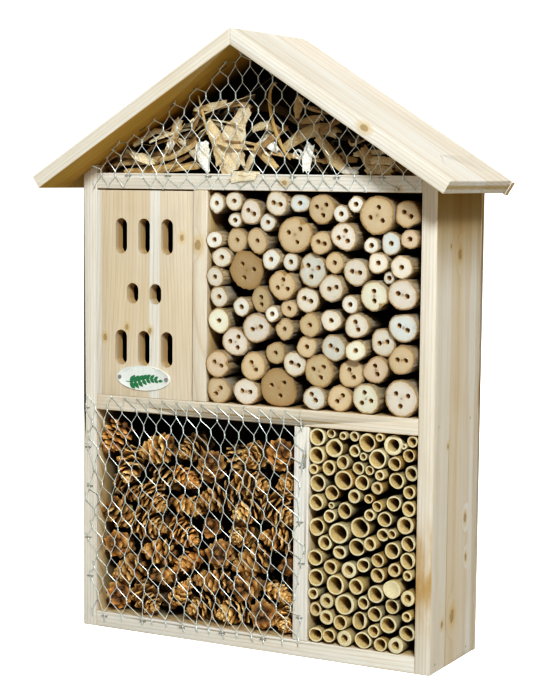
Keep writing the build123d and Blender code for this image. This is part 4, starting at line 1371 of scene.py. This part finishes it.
def curls():
    """The heap of wood strips and shavings, in the layers that the CAD model has."""
    pick = random.Random(21)
    material = curl_wood()
    for number, name in enumerate(layers("curl_layer")):
        soup = Soup()
        near = number < 3
        y_low = FRONT + (2.5 + 14.5 * number) * MM
        for _ in range(40 if near else 30):
            x = pick.uniform(-INNER + 12 * MM, INNER - 12 * MM)
            rise = heap_top(x) * pick.random() ** 0.8
            centre = np.array((x, y_low + pick.uniform(0, 13) * MM, SHELF_TOP + 3 * MM + rise))
            thin = pick.random() < 0.45
            width = pick.uniform(1.2, 2.6) * MM if thin else pick.uniform(4, 9) * MM
            length = pick.uniform(25, 70) * MM if thin else pick.uniform(22, 60) * MM
            turn, tilt = pick.gauss(0, 0.5), pick.gauss(-0.25 if x > 0 else 0.25, 0.45)
            tone = pick.choice(CURL_TONES)
            strand(pick, centre, length, width, turn, tilt, tone, soup, (0.7 if thin else 1.1) * MM)
        for _ in range(7 if near else 2):
            x = pick.uniform(-0.085, 0.095)
            y = y_low + pick.uniform(0, 8) * MM
            centre = (x, y, SHELF_TOP + 5 * MM + heap_top(x) * pick.uniform(0.1, 0.9))
            radius, width, turns = pick.uniform(2.5, 6) * MM, pick.uniform(3, 6) * MM, pick.uniform(0.6, 1.3)
            tone = pick.choice((FRESH, WHITE, CURL_TONES[2]))
            curl(soup, pick, centre, radius, width, turns, tone, pick.uniform(0, math.tau))
        if number == 0:
            front_flakes(soup, pick)
        soup.piece(f"{name}_strips", [material], [name], "wood_curl", 50)


def front_flakes(soup, pick):
    """The largest pieces of the heap, just behind the net: places and widths in millimetres,
    each place as X, the depth behind the open front, and Z."""
    front = FRONT / MM
    toward = np.array((0.15, -1.0, 0.25))

    def lay(points, widths, tone, facing=toward, thickness=1.4, cup=0.2, spin=0.0):
        path = bent([(x, front + depth, z) for x, depth, z in points])
        ribbon(soup, path, [width * MM for width in widths], facing, tone, pick, thickness * MM, cup, spin)

    lay([(-22, 9, 409), (-25, 8, 424), (-23, 7, 438), (-15, 6, 452), (-8, 6, 463)], (20, 25, 24, 13, 12),
        (0.84, 0.70, 0.48))
    lay([(-30, 7, 415), (-36, 6, 433), (-47, 6, 452)], (16, 13, 7), (0.78, 0.62, 0.38))
    lay([(-52, 5, 431), (-49, 4, 420), (-44, 3, 408)], (13, 11, 3), WHITE)
    lay([(-79, 11, 453), (-82, 10, 441), (-89, 9, 425)], (9, 9, 6), (0.76, 0.60, 0.36))
    lay([(-145, 12, 414), (-118, 13, 417), (-90, 13, 421), (-60, 12, 434)], (3, 6, 6, 4), (0.70, 0.53, 0.28))
    lay([(-132, 9, 408.5), (-93, 9, 411), (-56, 10, 413.5)], (4, 7, 5), (0.64, 0.46, 0.22))
    lay([(-126, 18, 419), (-95, 19, 426), (-64, 18, 428)], (3, 6, 3), (0.55, 0.38, 0.18))
    lay([(-54, 3, 473), (-50, 4, 457), (-46, 5, 440)], (1.2, 2.4, 1.6), (0.66, 0.48, 0.22), thickness=1.0)
    lay([(21, 3, 483), (15, 3, 466), (22, 4, 439), (34, 5, 419)], (2, 3.2, 3, 1.5),
        (0.62, 0.42, 0.17), thickness=1.2)
    lay([(27, 8, 429), (45, 8, 441), (62, 8, 445), (76, 9, 440)], (8, 11, 11, 9),
        (0.70, 0.55, 0.32), cup=0.35)
    lay([(59, 5, 438), (70, 5, 426), (82, 5, 413), (95, 6, 410)], (7, 9, 8, 6), (0.76, 0.60, 0.36))
    lay([(83, 4, 411), (97, 4, 410.5)], (5, 7), WHITE)
    lay([(54, 4, 432), (51, 4, 421), (50, 4, 409)], (7, 9, 6), WHITE, cup=-0.3)
    lay([(8, 6, 436), (16, 5, 431), (22, 6, 426)], (6, 8, 4), WHITE)
    lay([(-20, 2, 408.4), (-6, 0.6, 408.2), (7, 1.4, 408.3)], (5, 9, 4), FRESH, np.array((0.0, -0.5, 1.0)))
    lay([(-19, -1.6, 401), (-9, -1.8, 404.5), (5, -1.6, 404)], (5, 8, 5), FRESH,
        np.array((0.1, -1.0, 0.1)), 0.7)
    lay([(106, 7, 418.5), (118, 7, 418.8), (128, 8, 417)], (6, 7, 6), (0.78, 0.63, 0.40),
        thickness=3.5, cup=0.0)
    lay([(104, 6, 411), (115, 6, 411.3), (127, 7, 410)], (8, 8, 7), (0.74, 0.59, 0.37), thickness=4, cup=0.0)
    lay([(128, 12, 415), (137, 12, 411), (145, 13, 409.5)], (8, 7, 4), (0.42, 0.27, 0.12), thickness=3)
    lay([(41, 8, 471), (39, 8, 462), (38.5, 8, 453)], (7, 8, 3), (0.68, 0.50, 0.26))
    lay([(-19, 25, 461), (3, 26, 464), (22, 26, 456)], (5, 9, 6), (0.45, 0.29, 0.12))
    lay([(24, 22, 455), (36, 22, 449), (50, 21, 440)], (5, 7, 5), (0.58, 0.41, 0.2))
    lay([(60, 12, 418), (76, 12, 420), (92, 13, 419)], (5, 7, 4), (0.52, 0.36, 0.17))
    lay([(-6, 11, 444), (8, 10, 448), (20, 10, 443)], (5, 8, 6), (0.80, 0.66, 0.42), cup=0.35)
    lay([(-2, 9, 431), (10, 9, 420), (20, 9, 412)], (7, 8, 4), (0.68, 0.50, 0.25))
    lay([(98, 9, 428), (104, 8, 419), (108, 8, 409)], (10, 9, 8), (0.60, 0.44, 0.24), thickness=2)


# ---------------------------------------------------------------- label and fixings


def label():
    """An oval enamelled plate with a rolled rim and a plain sprig of leaves."""
    low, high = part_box("label_plate")
    centre, half_x, half_z = (low + high) / 2, (high.x - low.x) / 2, (high.z - low.z) / 2
    soup = Soup()
    around = 72
    # The plate's outline and rim: (share of its size, depth)
    rings = ((1.0, high.y), (1.0, low.y + 0.35 * MM), (0.985, low.y + 0.05 * MM), (0.955, low.y + 0.02 * MM),
             (0.93, low.y + 0.28 * MM), (0.6, low.y + 0.22 * MM), (0.0, low.y + 0.2 * MM))
    points = [
        (centre.x + half_x * size * math.cos(math.tau * step / around), y,
         centre.z + half_z * size * math.sin(math.tau * step / around))
        for size, y in rings[:-1] for step in range(around)
    ] + [(centre.x, rings[-1][1], centre.z)]
    faces = [
        (ring * around + step, (ring + 1) * around + step, (ring + 1) * around + (step + 1) % around,
         ring * around + (step + 1) % around)
        for ring in range(len(rings) - 2) for step in range(around)
    ]
    last = (len(rings) - 2) * around
    faces += [(last + step, len(points) - 1, last + (step + 1) % around) for step in range(around)]
    faces.append(tuple(range(around)))
    faces = [tuple(reversed(face)) for face in faces]
    soup.add(points, faces, 0)
    surface_y = low.y + 0.14 * MM
    # The stem sways from left to right, thickest near its middle
    stem = []
    for step in range(9):
        t = step / 4 - 1
        rise = 2.0 * MM * math.sin(2.6 * t + 0.4)
        stem.append((centre.x + (t * 16.5 - 0.8) * MM, surface_y, centre.z - 2.0 * MM + rise))
    radii = [0.25 * MM + 0.25 * MM * (1 - abs(index - 3) / 6) for index in range(9)]
    points, stem_faces = tube(stem, radii, 6)
    soup.add([(p[0], surface_y + (p[1] - surface_y) * 0.5, p[2]) for p in points], stem_faces, 1)
    for index in range(7):
        root = Vector(stem[index + 1])
        for side in (1, -1):
            angle = side * math.radians(52 - 3 * index)
            leaf(soup, root, angle, (8.2 - 0.5 * index) * MM, surface_y)
    leaf(soup, Vector(stem[-1]), 0.1, 5.0 * MM, surface_y)
    materials = [enamel("plate_enamel", (0.74, 0.71, 0.62)), enamel("leaf_enamel", (0.035, 0.20, 0.075))]
    soup.piece("label_plate_oval", materials, ["label_plate"], "label_plate", 40)


def leaf(soup, root, angle, length, y):
    """A pointed leaf, a little raised along its midrib."""
    steps = 8
    points = []
    for step in range(steps + 1):
        t = step / steps
        half = 0.27 * length * math.sin(math.pi * t ** 0.8)
        for across in (-1, 0, 1):
            along, side = t * length, across * half
            x = along * math.cos(angle) - side * math.sin(angle)
            z = along * math.sin(angle) + side * math.cos(angle)
            points.append((root.x + x, y - (0.10 if across == 0 else 0.02) * MM, root.z + z))
    faces = [
        (row * 3 + side, row * 3 + side + 1, (row + 1) * 3 + side + 1, (row + 1) * 3 + side)
        for row in range(steps) for side in (0, 1)
    ]
    soup.add(points, faces, 1)


def enamel(name, colour):
    """Slightly worn enamel paint."""
    shader = Shader(name, 0.32, 0.5)
    mottle = shader.noise(shader.place(), 400.0, 3.0, 0.6)
    worn = tuple(value * 0.82 for value in colour)
    shader.bump(mottle, 0.06 * MM, 0.4)
    return shader.finish(shader.mix(shader.range(mottle, 0.4, 0.75, 0.0, 0.6), colour, worn))


def fixings():
    """CAD pieces whose shapes stay: only their metal is given here."""
    steel = metal("brad_steel", (0.42, 0.38, 0.33), 0.45)
    zinc = metal("hanger_zinc", (0.72, 0.73, 0.72), 0.38)
    staple_steel = metal("staple_steel", (0.50, 0.49, 0.46), 0.4)
    finishes = {
        steel: ("side_brads", "roof_brads", "divider_brads", "back_brads", "label_nails"),
        zinc: ("left_hanger_plate", "right_hanger_plate", "hanger_screws"),
        staple_steel: ("attic_net_staples", "cone_bay_net_staples"),
    }
    for material, names in finishes.items():
        for name in names:
            for slot in NODES[name].material_slots:
                slot.material = material


camera()
studio()
boards()
logs()
canes()
cones()
nets()
curls()
label()
fixings()
